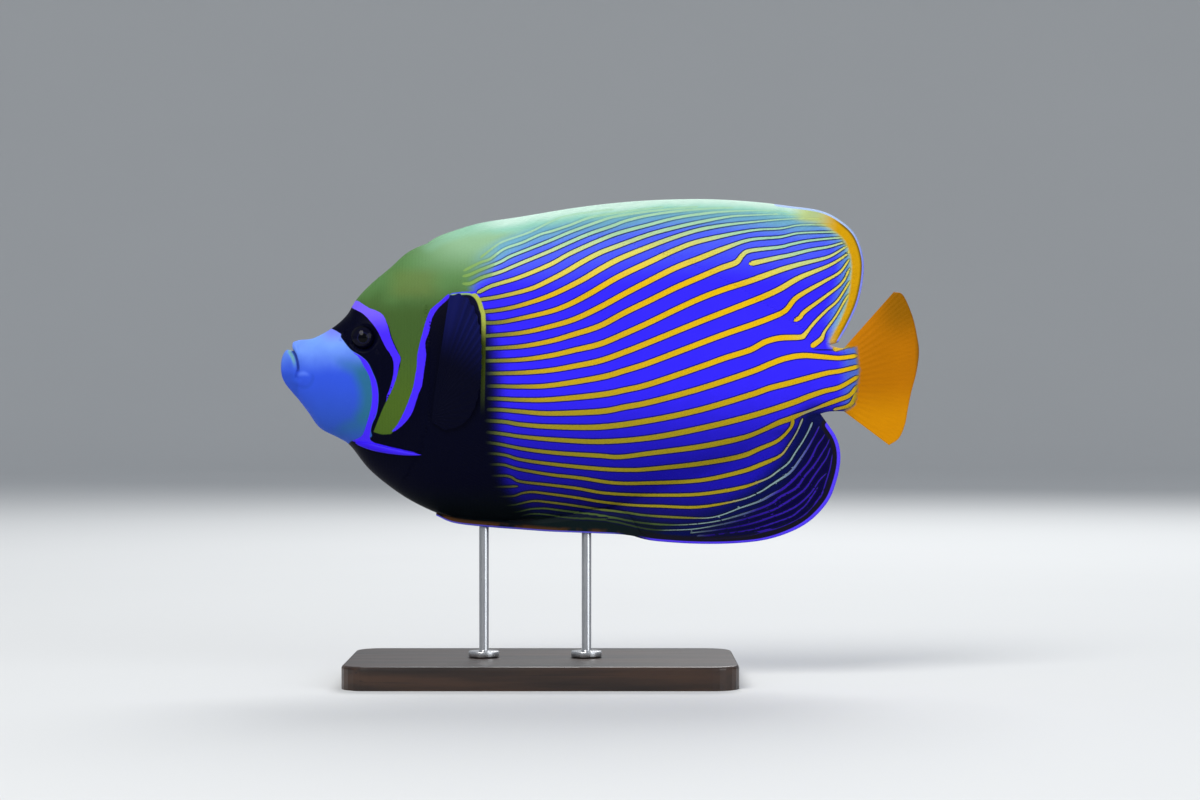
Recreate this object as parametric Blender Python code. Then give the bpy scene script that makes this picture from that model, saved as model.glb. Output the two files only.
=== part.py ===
# Adult emperor angelfish, a life-size still model held by a plain display stand.
# Sizes are in millimetres. Run is the distance behind the snout, height is above the floor,
# and the head points to -X. The left flank faces -Y.

import math

import bmesh
import bpy
from mathutils import Vector

MM = 0.001

# Overall sizes
LENGTH = 330.0               # snout to the rear edge of the tail fin
GAP = 0.3                    # between neighbouring pieces
MIN_HALF = 0.8               # half thickness of the crest of the back and of the keel

# Outline of the flesh, as (run, height), snout to tail
BACK_LINE = ((9.7, 176.0), (17.1, 177.1), (26.9, 182.5), (34.1, 189.0), (38.8, 196.7), (46.0, 204.5),
             (56.4, 213.3), (66.7, 222.1), (82.0, 228.0), (103.0, 232.3), (124.0, 233.4),
             (144.5, 232.7), (165.0, 229.8), (191.0, 223.4), (217.0, 213.6), (238.0, 203.0),
             (258.0, 190.5), (274.0, 179.3), (286.0, 172.6), (294.0, 171.6))
KEEL_LINE = ((9.7, 144.4), (14.0, 138.8), (20.2, 130.5), (30.0, 125.3), (36.0, 121.2), (46.0, 108.8),
             (60.5, 97.2), (74.0, 89.5), (87.4, 84.4), (103.0, 82.0), (124.0, 81.9), (144.5, 84.0),
             (165.0, 88.2), (186.0, 93.9), (206.5, 101.0), (227.0, 109.8), (248.0, 120.8),
             (268.5, 132.8), (281.5, 138.6), (294.0, 139.2))
HALF_WIDTH = ((9.7, 8.0), (20.0, 11.4), (35.0, 15.2), (45.0, 17.4), (60.0, 20.3), (75.0, 22.8),
              (90.0, 24.0), (110.0, 24.4), (140.0, 23.4), (170.0, 20.9), (200.0, 17.4), (230.0, 13.4),
              (255.0, 10.0), (275.0, 7.3), (294.0, 5.0))
WIDEST_LEVEL = ((9.7, 160.0), (30.0, 156.0), (60.0, 152.0), (110.0, 152.0), (200.0, 157.0), (294.0, 155.4))
SECTION_POWER = 0.6          # 0.5 is an ellipse, more is sharper along the back and the keel
CREST_POWER = 0.25           # added to it along the crest that a fin stands on
CREST_REACH = 0.7            # the crest starts here, between the widest level at 0 and the edge at 1
CREST_LENGTHS = (30.0, 10.0)  # lengths over which a crest starts behind a fin's front and ends

# Cuts between the parts of the body
MUZZLE_RUN = 9.7             # lips and jaw lie ahead of this
GILL_RUN = 78.0              # rear edge of the gill cover at the widest level
GILL_SWEEP_TOP = 10.0
GILL_SWEEP_BOTTOM = 20.0
STALK_RUN = 262.0            # trunk ends and tail stalk starts
TAIL_RUN = 291.0             # tail stalk ends and tail fin starts

# Mouth: the inner edge and the front edge of the jaw and of the upper lip, from the bottom up
JAW_REAR = ((9.4, 145.2), (9.4, 152.5), (9.2, 159.6), (8.6, 163.6), (7.3, 167.6), (5.4, 170.0))
JAW_FRONT = ((8.8, 145.9), (5.0, 149.9), (2.0, 153.8), (0.3, 158.0), (0.0, 163.6), (0.8, 168.2), (4.0, 170.6))
LIP_REAR = ((9.4, 161.4), (9.4, 168.0), (9.4, 175.4))
LIP_FRONT = ((9.0, 162.4), (8.7, 166.2), (7.2, 170.2), (5.8, 172.4), (6.4, 174.8), (8.8, 175.8))
MOUTH_HALF = 6.6             # half width of the mouth at its corner
MOUTH_END_PINCH = 0.15       # how far round its curve a lip starts and ends

# Fins: outer edges, from the front round the rear corner to the rear end of the base
DORSAL_START_RUN = 76.0
DORSAL_END_RUN = 284.0
DORSAL_EDGE = ((76.0, 226.4), (80.5, 229.2), (87.4, 231.9), (103.0, 236.5), (124.0, 239.8), (155.0, 244.8),
               (185.0, 247.9), (217.0, 248.9), (243.0, 247.6), (263.0, 245.3), (279.0, 242.9), (289.1, 238.0),
               (297.0, 230.5), (301.0, 219.5), (301.2, 209.0), (298.6, 196.0), (293.8, 184.8), (288.2, 174.8))
ANAL_START_RUN = 168.0
ANAL_END_RUN = 279.0
ANAL_EDGE = ((169.5, 82.5), (178.0, 76.6), (188.3, 72.9), (201.0, 71.4), (217.0, 70.6), (233.0, 70.8),
             (247.2, 72.1), (258.0, 74.7), (268.4, 79.1), (276.5, 85.0), (283.5, 93.5), (287.4, 103.6),
             (289.2, 112.4), (289.0, 119.7), (287.0, 126.1), (283.2, 132.0))
TAIL_EDGE = ((317.0, 201.0), (321.7, 199.3), (326.4, 189.0), (328.9, 178.6), (330.0, 169.5),
             (328.6, 159.0), (326.0, 149.0), (324.2, 140.0), (322.7, 132.1), (319.6, 125.2), (314.5, 121.6))
FIN_ROOT_HALF = 1.7
FIN_EDGE_HALF = 0.55
FIN_TAPER_POWER = 0.7
TAIL_TAPER_POWER = 3

# Pectoral fin: a fan folded up and back over the flank, its edge from the lowest ray to the highest
PECTORAL_ROOT = ((79.4, 133.8), (80.6, 147.0))
PECTORAL_EDGE = ((86.0, 129.6), (94.0, 132.0), (100.5, 139.0), (103.8, 150.0), (105.0, 164.0), (104.4, 179.0),
                 (101.6, 191.0), (97.0, 197.6), (92.0, 199.4), (88.4, 198.4))
PECTORAL_LIFT = 4.0          # how far the tip stands off the flank
PECTORAL_LIFT_POWER = 1.5
PECTORAL_THICKNESS = 1.1

# Pelvic fin: a narrow blade folded back under the belly
PELVIC_LOWER_EDGE = ((80.5, 85.4), (90.0, 81.6), (108.0, 79.6), (124.0, 78.4), (140.0, 77.2), (160.0, 76.4),
                     (176.0, 75.6), (186.0, 75.2))
PELVIC_DEPTH = ((80.5, 1.5), (92.0, 3.4), (124.0, 4.2), (145.0, 8.4), (160.0, 12.0), (174.0, 12.6),
                (181.0, 9.0), (186.0, 1.6))
PELVIC_OFF_CENTRE = 3.5
PELVIC_THICKNESS = 1.2
PELVIC_TUCK = 0.5            # how far the blade reaches above the keel

# Eye and cheek spine
EYE_RUN = 43.7
EYE_HEIGHT = 176.8
EYE_RADIUS = 7.6
EYE_STANDS_PROUD = 1.2
SPINE_START = (37.6, 122.9)
SPINE_TIP = (72.6, 117.0)
SPINE_HALF_DEPTH = 2.7
SPINE_HALF_THICKNESS = 1.4
SPINE_LIFT = 1.4             # how far the tip stands off the cheek
SPINE_DROP_POWER = 1.5
SPINE_ROOT_SHARE = 0.5       # thickness at the root and at the tip, as shares of the greatest
SPINE_TIP_SHARE = 0.12
SPINE_SWELL = 1.6
SPINE_TAPER_POWER = 2.5

# Bend of the tail towards +Y
BEND_START_RUN = 262.0
BEND_FULL_RUN = 310.0
BEND_SLOPE = 0.6

# Display stand
BASE_SIZE = (200.0, 110.0, 12.0)
BASE_CENTRE_RUN = 135.0
BASE_CORNER_RADIUS = 14.0
BASE_EDGE_BEVEL = 1.6
ROD_RADIUS = 2.5
ROD_RUNS = {"stand_rod_front": 105.0, "stand_rod_rear": 158.0}
ROD_SUNK = 7.0               # length of a rod inside the belly
FLANGE_RADIUS = 8.0
FLANGE_HEIGHT = 3.0
FLANGE_CHAMFER = 0.9

# Faces along and across each plate
HEAD_FACES = (16, 16)
TRUNK_FACES = (20, 16)
STALK_FACES = (4, 12)
MOUTH_FACES = (9, 4)
DORSAL_FACES = (34, 5)
ANAL_FACES = (26, 5)
TAIL_FACES = (20, 8)
PECTORAL_FACES = (14, 6)
PELVIC_FACES = (20, 2)
SPINE_SECTIONS = 8
SPINE_CORNERS = 10
SMOOTH_ANGLE = math.radians(50)


# Curves


def smooth_path(points, steps=8):
    # a dense run of points on a smooth curve through the given ones
    knots = [Vector(p) for p in points]
    knots = [2 * knots[0] - knots[1]] + knots + [2 * knots[-1] - knots[-2]]
    path = []
    for before, start, end, after in zip(knots, knots[1:], knots[2:], knots[3:]):
        for step in range(steps):
            t = step / steps
            path.append(0.5 * (2 * start + (end - before) * t
                               + (2 * before - 5 * start + 4 * end - after) * t ** 2
                               + (3 * start - before - 3 * end + after) * t ** 3))
    path.append(knots[-2])
    return path


def value_at(path, run):
    # second coordinate of a path where its first coordinate is run
    for start, end in zip(path, path[1:]):
        if run <= end[0]:
            return start[1] + (end[1] - start[1]) * (run - start[0]) / (end[0] - start[0])
    return path[-1][1]


def share_along(path, share):
    # point at this share of a path's length
    lengths = [(end - start).length for start, end in zip(path, path[1:])]
    left = share * sum(lengths)
    for start, end, length in zip(path, path[1:], lengths):
        if left <= length:
            return start.lerp(end, left / length)
        left -= length
    return path[-1].copy()


back = smooth_path(BACK_LINE)
keel = smooth_path(KEEL_LINE)
half_width = smooth_path(HALF_WIDTH)
widest_level = smooth_path(WIDEST_LEVEL)


def ease(value, start, end):
    # 0 at start and 1 at end, smooth between
    share = min(1.0, max(0.0, (value - start) / (end - start)))
    return share * share * (3 - 2 * share)


def section_power(run, reach, base):
    # the body runs out thinner where it meets a fin than along the bare back or keel
    lead, tail = CREST_LENGTHS
    beside = ease(run, base[0], base[0] + lead) * ease(run, base[1], base[1] - tail)
    return SECTION_POWER + CREST_POWER * beside * ease(reach, CREST_REACH, 1.0)


def flesh_half(run, height):
    # half thickness of the body at a place seen from the side
    level = value_at(widest_level, run)
    upper = height > level
    edge = value_at(back if upper else keel, run)
    reach = min(1.0, abs((height - level) / (edge - level)))
    base = (DORSAL_START_RUN, DORSAL_END_RUN) if upper else (ANAL_START_RUN, ANAL_END_RUN)
    power = section_power(run, reach, base)
    return max(MIN_HALF, value_at(half_width, run) * (1 - reach ** 2) ** power)


def flesh_height(run, reach):
    # reach is -1 on the keel, 0 at the widest level and 1 on the back
    level = value_at(widest_level, run)
    edge = value_at(back if reach > 0 else keel, run)
    return level + abs(reach) * (edge - level)


def gill_run(reach):
    sweep = GILL_SWEEP_TOP if reach > 0 else GILL_SWEEP_BOTTOM
    return GILL_RUN - sweep * reach ** 2


def bend(run):
    # sideways swing of the tail
    if run < BEND_START_RUN:
        return 0.0
    if run < BEND_FULL_RUN:
        return BEND_SLOPE * (run - BEND_START_RUN) ** 2 / (2 * (BEND_FULL_RUN - BEND_START_RUN))
    return BEND_SLOPE * (run - (BEND_START_RUN + BEND_FULL_RUN) / 2)


def place(run, across, height):
    # from run, across and height in millimetres to the model's frame in metres
    return Vector((run - LENGTH / 2, across + bend(run), height)) * MM


# Materials and objects


def material(name, colour, roughness, metallic=0.0):
    made = bpy.data.materials.get(name)
    if made is None:
        made = bpy.data.materials.new(name)
        made.use_nodes = True
        shader = made.node_tree.nodes["Principled BSDF"]
        shader.inputs["Base Color"].default_value = (*colour, 1.0)
        shader.inputs["Roughness"].default_value = roughness
        shader.inputs["Metallic"].default_value = metallic
    return made


def skin_blue():
    return material("skin_blue", (0.05, 0.04, 0.75), 0.45)


def fin_blue():
    return material("fin_blue", (0.10, 0.12, 0.55), 0.5)


def fin_orange():
    return material("fin_orange", (0.62, 0.26, 0.01), 0.5)


def face_blue():
    return material("face_blue", (0.16, 0.28, 0.80), 0.45)


def spine_violet():
    return material("spine_violet", (0.10, 0.03, 0.80), 0.4)


def eye_black():
    return material("eye_black", (0.01, 0.01, 0.02), 0.08)


def stand_wood():
    return material("stand_wood", (0.09, 0.05, 0.03), 0.4)


def stand_steel():
    return material("stand_steel", (0.60, 0.60, 0.62), 0.3, 1.0)


def add_object(name, mesh_source, look):
    mesh = bpy.data.meshes.new(name)
    mesh_source.to_mesh(mesh)
    mesh_source.free()
    mesh.materials.append(look)
    mesh.shade_smooth()
    mesh.set_sharp_from_angle(angle=SMOOTH_ANGLE)
    made = bpy.data.objects.new(name, mesh)
    bpy.context.scene.collection.objects.link(made)
    return made


def add_plate(name, look, counts, shape, sides):
    # a sheet of counts[0] by counts[1] faces, with shape(u, v) its run and height and
    # sides(u, v, run, height) its two distances across, extruded from one side to the other
    bm = bmesh.new()
    bmesh.ops.create_grid(bm, x_segments=counts[0], y_segments=counts[1], size=0.5)
    far_place = bm.verts.layers.float_vector.new("far_place")
    for vert in bm.verts:
        u = min(1.0, max(0.0, vert.co.x + 0.5))
        v = min(1.0, max(0.0, vert.co.y + 0.5))
        run, height = shape(u, v)
        near, far = sides(u, v, run, height)
        vert.co = place(run, near, height)
        vert[far_place] = place(run, far, height)
    grown = bmesh.ops.extrude_face_region(bm, geom=bm.faces[:])["geom"]
    for item in grown:
        if isinstance(item, bmesh.types.BMVert):
            item.co = item[far_place]
    bmesh.ops.recalc_face_normals(bm, faces=bm.faces[:])
    return add_object(name, bm, look)


def cut_away(body, cutter):
    cutter.hide_render = True
    cutter.display_type = "WIRE"
    cut = body.modifiers.new(cutter.name, "BOOLEAN")
    cut.operation = "DIFFERENCE"
    cut.solver = "EXACT"
    cut.object = cutter


# Body


def add_body_part(name, look, counts, front, rear):
    # a length of the body between two cuts, each the run of the cut at a reach of -1 to 1
    def shape(u, v):
        reach = math.sin(math.pi * (v - 0.5))
        run = front(reach) + (rear(reach) - front(reach)) * u
        return run, flesh_height(run, reach)

    def sides(u, v, run, height):
        half = flesh_half(run, height)
        return -half, half

    return add_plate(name, look, counts, shape, sides)


def add_head():
    return add_body_part("head", face_blue(), HEAD_FACES, lambda reach: MUZZLE_RUN,
                         lambda reach: gill_run(reach) - GAP)


def add_trunk():
    return add_body_part("trunk", skin_blue(), TRUNK_FACES, gill_run, lambda reach: STALK_RUN - GAP)


def add_tail_stalk():
    return add_body_part("tail_stalk", skin_blue(), STALK_FACES, lambda reach: STALK_RUN,
                         lambda reach: TAIL_RUN - GAP)


def add_mouth_part(name, rear_line, front_line):
    # a lip or jaw, between its rear edge against the head and its rounded front edge
    rear = smooth_path(rear_line)
    front = smooth_path(front_line)

    def shape(u, v):
        return share_along(rear, u).lerp(share_along(front, u), v)

    def sides(u, v, run, height):
        turn = MOUTH_END_PINCH + (1 - 2 * MOUTH_END_PINCH) * u
        half = MIN_HALF + (MOUTH_HALF - MIN_HALF) * math.sqrt(1 - v ** 2) * math.sin(math.pi * turn)
        return -half, half

    return add_plate(name, face_blue(), MOUTH_FACES, shape, sides)


# Fins on the middle line


def add_edge_fin(name, counts, edge_line, base_start, base_end, base_side):
    # a dorsal or anal fin, with straight rays from its base on the body to its outer edge
    edge = smooth_path(edge_line)

    def shape(u, v):
        run = base_start + (base_end - base_start) * u
        clear = GAP if base_side is back else -GAP
        root = Vector((run, value_at(base_side, run) + clear))
        return root.lerp(share_along(edge, u), v)

    def sides(u, v, run, height):
        half = FIN_ROOT_HALF + (FIN_EDGE_HALF - FIN_ROOT_HALF) * v ** FIN_TAPER_POWER
        return -half, half

    return add_plate(name, fin_blue(), counts, shape, sides)


def add_tail_fin():
    edge = smooth_path(TAIL_EDGE)
    top = value_at(back, TAIL_RUN)
    bottom = value_at(keel, TAIL_RUN)

    def shape(u, v):
        root = Vector((TAIL_RUN, top + (bottom - top) * u))
        return root.lerp(share_along(edge, u), v)

    def sides(u, v, run, height):
        root_half = flesh_half(TAIL_RUN, top + (bottom - top) * u)
        half = FIN_EDGE_HALF + (root_half - FIN_EDGE_HALF) * (1 - v) ** TAIL_TAPER_POWER
        return -half, half

    return add_plate("tail_fin", fin_orange(), TAIL_FACES, shape, sides)


# Paired fins, with side -1 for the left and 1 for the right


def add_pectoral_fin(name, side):
    root = [Vector(end) for end in PECTORAL_ROOT]
    edge = smooth_path(PECTORAL_EDGE)

    def shape(u, v):
        return root[0].lerp(root[1], u).lerp(share_along(edge, u), v)

    def sides(u, v, run, height):
        inner = flesh_half(run, height) + 2 * GAP + PECTORAL_LIFT * v ** PECTORAL_LIFT_POWER * u
        return side * inner, side * (inner + PECTORAL_THICKNESS)

    return add_plate(name, fin_blue(), PECTORAL_FACES, shape, sides)


def add_pelvic_fin(name, side):
    lower = smooth_path(PELVIC_LOWER_EDGE)
    depth = smooth_path(PELVIC_DEPTH)

    def shape(u, v):
        run = PELVIC_LOWER_EDGE[0][0] + (PELVIC_LOWER_EDGE[-1][0] - PELVIC_LOWER_EDGE[0][0]) * u
        bottom = value_at(lower, run)
        top = min(bottom + value_at(depth, run), value_at(keel, run) + PELVIC_TUCK)
        return run, bottom + (top - bottom) * v

    def sides(u, v, run, height):
        return side * PELVIC_OFF_CENTRE, side * (PELVIC_OFF_CENTRE + PELVIC_THICKNESS)

    return add_plate(name, fin_blue(), PELVIC_FACES, shape, sides)


# Eyes and cheek spines


def add_ball(name, side, radius, look):
    bm = bmesh.new()
    bmesh.ops.create_uvsphere(bm, u_segments=16, v_segments=10, radius=radius * MM)
    across = flesh_half(EYE_RUN, EYE_HEIGHT) + EYE_STANDS_PROUD - EYE_RADIUS
    bmesh.ops.translate(bm, verts=bm.verts[:], vec=place(EYE_RUN, side * across, EYE_HEIGHT))
    return add_object(name, bm, look)


def add_spine(name, side, extra, look):
    # a spike along the cheek, half sunk in it at its root and free at its tip
    bm = bmesh.new()
    rings = []
    for section in range(SPINE_SECTIONS + 1):
        t = section / SPINE_SECTIONS
        run = SPINE_START[0] + (SPINE_TIP[0] - SPINE_START[0]) * t
        height = SPINE_START[1] + (SPINE_TIP[1] - SPINE_START[1]) * (1 - (1 - t) ** SPINE_DROP_POWER)
        across = flesh_half(run, height) + SPINE_LIFT * t
        swell = SPINE_ROOT_SHARE + (1 - SPINE_ROOT_SHARE) * math.sin(math.pi * min(0.5, SPINE_SWELL * t))
        taper = swell * max(SPINE_TIP_SHARE, 1 - t ** SPINE_TAPER_POWER)
        ring = bmesh.ops.create_circle(bm, cap_ends=False, segments=SPINE_CORNERS, radius=1.0)["verts"]
        for vert in ring:
            out = side * vert.co.x * (SPINE_HALF_THICKNESS * taper + extra)
            up = vert.co.y * (SPINE_HALF_DEPTH * taper + extra)
            vert.co = place(run, side * across + out, height + up)
        rings.append(ring)
    for start, end in zip(rings, rings[1:]):
        for corner in range(SPINE_CORNERS):
            after = (corner + 1) % SPINE_CORNERS
            bm.faces.new((start[corner], start[after], end[after], end[corner]))
    bm.faces.new(rings[0])
    bm.faces.new(rings[-1])
    bmesh.ops.recalc_face_normals(bm, faces=bm.faces[:])
    return add_object(name, bm, look)


# Stand


def add_stand_base():
    bm = bmesh.new()
    bmesh.ops.create_cube(bm, size=1.0)
    bmesh.ops.scale(bm, vec=[size * MM for size in BASE_SIZE], verts=bm.verts[:])
    upright = [edge for edge in bm.edges if abs(edge.verts[0].co.z - edge.verts[1].co.z) > MM]
    bmesh.ops.bevel(bm, geom=upright, offset=BASE_CORNER_RADIUS * MM, segments=6, affect="EDGES", profile=0.5)
    top = BASE_SIZE[2] / 2 * MM
    rim = [edge for edge in bm.edges if all(vert.co.z > top - MM / 10 for vert in edge.verts)
           and len(edge.link_faces) == 2 and any(face.normal.z < 0.5 for face in edge.link_faces)]
    bmesh.ops.bevel(bm, geom=rim, offset=BASE_EDGE_BEVEL * MM, segments=3, affect="EDGES", profile=0.5)
    centre = Vector((BASE_CENTRE_RUN - LENGTH / 2, 0.0, BASE_SIZE[2] / 2)) * MM
    bmesh.ops.translate(bm, verts=bm.verts[:], vec=centre)
    return add_object("stand_base", bm, stand_wood())


def add_rod(name, run, top, radius_extra, look):
    # a turned rod with a low round flange on the base
    bottom = BASE_SIZE[2] + GAP
    radius = ROD_RADIUS + radius_extra
    flange_top = bottom + FLANGE_HEIGHT
    profile = ((0.0, bottom), (FLANGE_RADIUS, bottom), (FLANGE_RADIUS, flange_top - FLANGE_CHAMFER),
               (FLANGE_RADIUS - FLANGE_CHAMFER, flange_top), (radius + FLANGE_CHAMFER, flange_top),
               (radius, flange_top + FLANGE_CHAMFER), (radius, top), (0.0, top))
    bm = bmesh.new()
    verts = [bm.verts.new((r * MM, 0.0, z * MM)) for r, z in profile]
    edges = [bm.edges.new(pair) for pair in zip(verts, verts[1:])]
    bmesh.ops.spin(bm, geom=verts + edges, axis=(0, 0, 1), cent=(0, 0, 0), steps=16,
                   angle=2 * math.pi, use_merge=True, use_duplicate=False)
    bmesh.ops.remove_doubles(bm, verts=bm.verts[:], dist=0.00001)
    bmesh.ops.translate(bm, verts=bm.verts[:], vec=Vector((run - LENGTH / 2, 0.0, 0.0)) * MM)
    bmesh.ops.recalc_face_normals(bm, faces=bm.faces[:])
    return add_object(name, bm, look)


def build():
    for old in list(bpy.data.objects):
        bpy.data.objects.remove(old, do_unlink=True)

    head = add_head()
    trunk = add_trunk()
    add_tail_stalk()
    add_mouth_part("lower_jaw", JAW_REAR, JAW_FRONT)
    add_mouth_part("upper_lip", LIP_REAR, LIP_FRONT)

    add_edge_fin("dorsal_fin", DORSAL_FACES, DORSAL_EDGE, DORSAL_START_RUN, DORSAL_END_RUN, back)
    add_edge_fin("anal_fin", ANAL_FACES, ANAL_EDGE, ANAL_START_RUN, ANAL_END_RUN, keel)
    add_tail_fin()

    for word, side in (("left", -1), ("right", 1)):
        add_pectoral_fin("pectoral_fin_" + word, side)
        add_pelvic_fin("pelvic_fin_" + word, side)
        add_ball("eye_" + word, side, EYE_RADIUS, eye_black())
        cut_away(head, add_ball("socket_" + word, side, EYE_RADIUS + GAP, eye_black()))
        add_spine("cheek_spine_" + word, side, 0.0, spine_violet())
        cut_away(head, add_spine("spine_bed_" + word, side, GAP, spine_violet()))

    add_stand_base()
    for name, run in ROD_RUNS.items():
        top = value_at(keel, run) + ROD_SUNK
        add_rod(name, run, top, 0.0, stand_steel())
        cut_away(trunk, add_rod(name + "_hole", run, top + GAP, GAP, stand_steel()))


build()
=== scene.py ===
# Adult emperor angelfish, a still, life-size model on a plain display stand.
# The fish is worked out in flat sheets first, in millimetres: run is the distance behind the snout,
# height is above the floor, half is half the thickness. The tail is swung aside at the end.

import math

import bpy
import numpy as np
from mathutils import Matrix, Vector
from mathutils.bvhtree import BVHTree


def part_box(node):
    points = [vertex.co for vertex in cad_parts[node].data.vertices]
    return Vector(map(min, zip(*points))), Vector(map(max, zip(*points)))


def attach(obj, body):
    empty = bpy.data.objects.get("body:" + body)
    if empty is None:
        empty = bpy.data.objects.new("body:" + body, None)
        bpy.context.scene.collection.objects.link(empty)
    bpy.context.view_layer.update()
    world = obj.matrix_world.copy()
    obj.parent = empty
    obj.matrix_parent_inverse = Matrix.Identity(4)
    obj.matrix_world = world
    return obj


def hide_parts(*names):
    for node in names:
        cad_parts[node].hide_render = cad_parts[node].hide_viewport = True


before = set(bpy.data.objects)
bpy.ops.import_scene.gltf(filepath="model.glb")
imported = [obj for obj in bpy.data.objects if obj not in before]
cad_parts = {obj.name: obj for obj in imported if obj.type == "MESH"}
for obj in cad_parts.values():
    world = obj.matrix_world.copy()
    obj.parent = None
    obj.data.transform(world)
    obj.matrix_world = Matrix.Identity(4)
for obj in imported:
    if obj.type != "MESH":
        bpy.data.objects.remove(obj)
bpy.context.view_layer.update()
scene = bpy.context.scene
mm = 0.001
halfLength = 165.0     # from the snout to the middle of the fish
weldGap = 0.000002     # points nearer than this are joined, in metres
flanks = (("left", -1), ("right", 1))
print("frame loaded")

photo = {
    "pixel": 0.5172,          # millimetres for each pixel at the fish
    "snoutColumn": 281.0,
    "lowestRow": 545.0,       # row of the lowest fin edge
    "lowestHeight": 70.0,     # height of that edge above the floor
    "width": 1200.0,
    "middle": (600.0, 400.0),
}


def fromPhoto(points):
    # pixels of the photo to run and height
    return [((u - photo["snoutColumn"]) * photo["pixel"],
             photo["lowestHeight"] + (photo["lowestRow"] - v) * photo["pixel"]) for u, v in points]


# Small helpers for pieces


def addPrimitive(name, operator, **settings):
    # a new primitive, with nothing else selected
    bpy.ops.object.select_all(action="DESELECT")
    operator(**settings)
    piece = bpy.context.object
    piece.name = name
    return piece


def modify(piece, kind, **settings):
    # a modifier with these settings, applied at once
    bpy.ops.object.modifier_add(type=kind)
    modifier = piece.modifiers[-1]
    for name, value in settings.items():
        setattr(modifier, name, value)
    bpy.ops.object.modifier_apply(modifier=modifier.name)


def selectRims():
    # into edit mode, with only the open edges selected
    bpy.ops.object.mode_set(mode="EDIT")
    bpy.ops.mesh.select_mode(type="EDGE")
    bpy.ops.mesh.select_all(action="DESELECT")
    bpy.ops.mesh.select_non_manifold()


def turnFaces(inside=False):
    # faces of the piece at hand all outwards or all inwards
    bpy.ops.object.mode_set(mode="EDIT")
    bpy.ops.mesh.select_all(action="SELECT")
    bpy.ops.mesh.normals_make_consistent(inside=inside)
    bpy.ops.object.mode_set(mode="OBJECT")


def meshPlaces(mesh):
    place = np.empty(len(mesh.vertices) * 3, np.float32)
    mesh.vertices.foreach_get("co", place)
    return place.reshape(-1, 3).astype(float)


def fishPlaces(mesh):
    # run, distance to the right and height of each vertex
    x, y, z = meshPlaces(mesh).T / mm
    return x + halfLength, y, z


def setPlaces(mesh, run, aside, height):
    place = np.stack([run - halfLength, aside, height], axis=-1) * mm
    mesh.vertices.foreach_set("co", place.astype(np.float32).ravel())
    mesh.update()


def addGrid(name, across, along):
    # a flat grid, with the shares of its width and of its length at each vertex
    piece = addPrimitive(name, bpy.ops.mesh.primitive_grid_add, x_subdivisions=across, y_subdivisions=along,
                         size=1)
    place = meshPlaces(piece.data)
    return piece, place[:, 0] + 0.5, place[:, 1] + 0.5


# Camera, light and floor

view = {
    "lens": 85.0,
    "sensor": 36.0,
    "world": (0.62, 0.66, 0.72),
    "worldStrength": 0.55,
    "floor": (0.72, 0.73, 0.73),
    "floorDark": 0.96,        # share of it in the darker clouds
    "roomRadius": 4.5,
    "roomCurve": 1.5,
    "roomSteps": 10,
    "lit": (0.0, 0.0, 0.15),  # where the lights point
}

viewBack = view["lens"] / view["sensor"] * photo["width"] * photo["pixel"]   # from the camera to the fish
middleRun, middleHeight = fromPhoto([photo["middle"]])[0]


def addCamera():
    bpy.ops.object.camera_add(location=((middleRun - halfLength) * mm, -viewBack * mm, middleHeight * mm),
                              rotation=(math.pi / 2, 0, 0))
    camera = bpy.context.object
    camera.name = "camera"
    camera.data.lens = view["lens"]
    camera.data.sensor_width = view["sensor"]
    camera.data.clip_start = 0.01
    scene.camera = camera


def addLight(name, place, size, power, colour):
    bpy.ops.object.light_add(type="AREA", location=place)
    light = bpy.context.object
    light.name = name
    light.data.shape = "DISK"
    light.data.size = size
    light.data.energy = power
    light.data.color = colour
    towards = Vector(view["lit"]) - Vector(place)
    light.rotation_euler = towards.to_track_quat("-Z", "Y").to_euler()


def addLights():
    addLight("keyLight", (-0.9, -1.5, 2.0), 1.4, 42.0, (1.0, 0.98, 0.95))
    addLight("fillLight", (1.6, -1.4, 0.9), 1.6, 14.0, (0.92, 0.96, 1.0))
    addLight("backLight", (0.4, 1.8, 1.7), 1.4, 30.0, (1.0, 1.0, 1.0))
    world = bpy.data.worlds.new("studio")
    world.use_nodes = True
    background = world.node_tree.nodes["Background"]
    background.inputs["Color"].default_value = (*view["world"], 1.0)
    background.inputs["Strength"].default_value = view["worldStrength"]
    scene.world = world
    scene.view_settings.view_transform = "Standard"


def addFloor():
    # one round floor that curves up far behind, the same from every side
    radius, curve, steps = view["roomRadius"], view["roomCurve"], view["roomSteps"]
    floor = addPrimitive("studioFloor", bpy.ops.mesh.primitive_circle_add, vertices=96, radius=radius,
                         fill_type="TRIFAN")
    selectRims()
    for step in range(steps):
        before, after = math.pi / 2 * step / steps, math.pi / 2 * (step + 1) / steps
        up = curve * (math.cos(before) - math.cos(after))
        wider = 1 + curve * (math.sin(after) - math.sin(before)) / radius
        bpy.ops.mesh.extrude_region_move(TRANSFORM_OT_translate={"value": (0, 0, up)})
        bpy.ops.transform.resize(value=(wider, wider, 1))
    turnFaces(inside=True)
    bpy.ops.object.shade_smooth()
    look, tree, shader, place = newMaterial("paleFloor", view["floor"], 0.85)
    darker = [view["floorDark"] * level for level in view["floor"]]
    shade = blend(tree, noise(tree, place, 2.0, 3.0), (*darker, 1.0), (*view["floor"], 1.0))
    feed(tree, shader, {"Base Color": shade})
    floor.data.materials.append(look)


# Small helpers for materials


def tint(red, green, blue):
    # a colour as seen on a screen, 0 to 255, to the linear one that shaders take
    linear = []
    for level in (red, green, blue):
        share = level / 255.0
        linear.append(share / 12.92 if share <= 0.04045 else ((share + 0.055) / 1.055) ** 2.4)
    return (*linear, 1.0)


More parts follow.
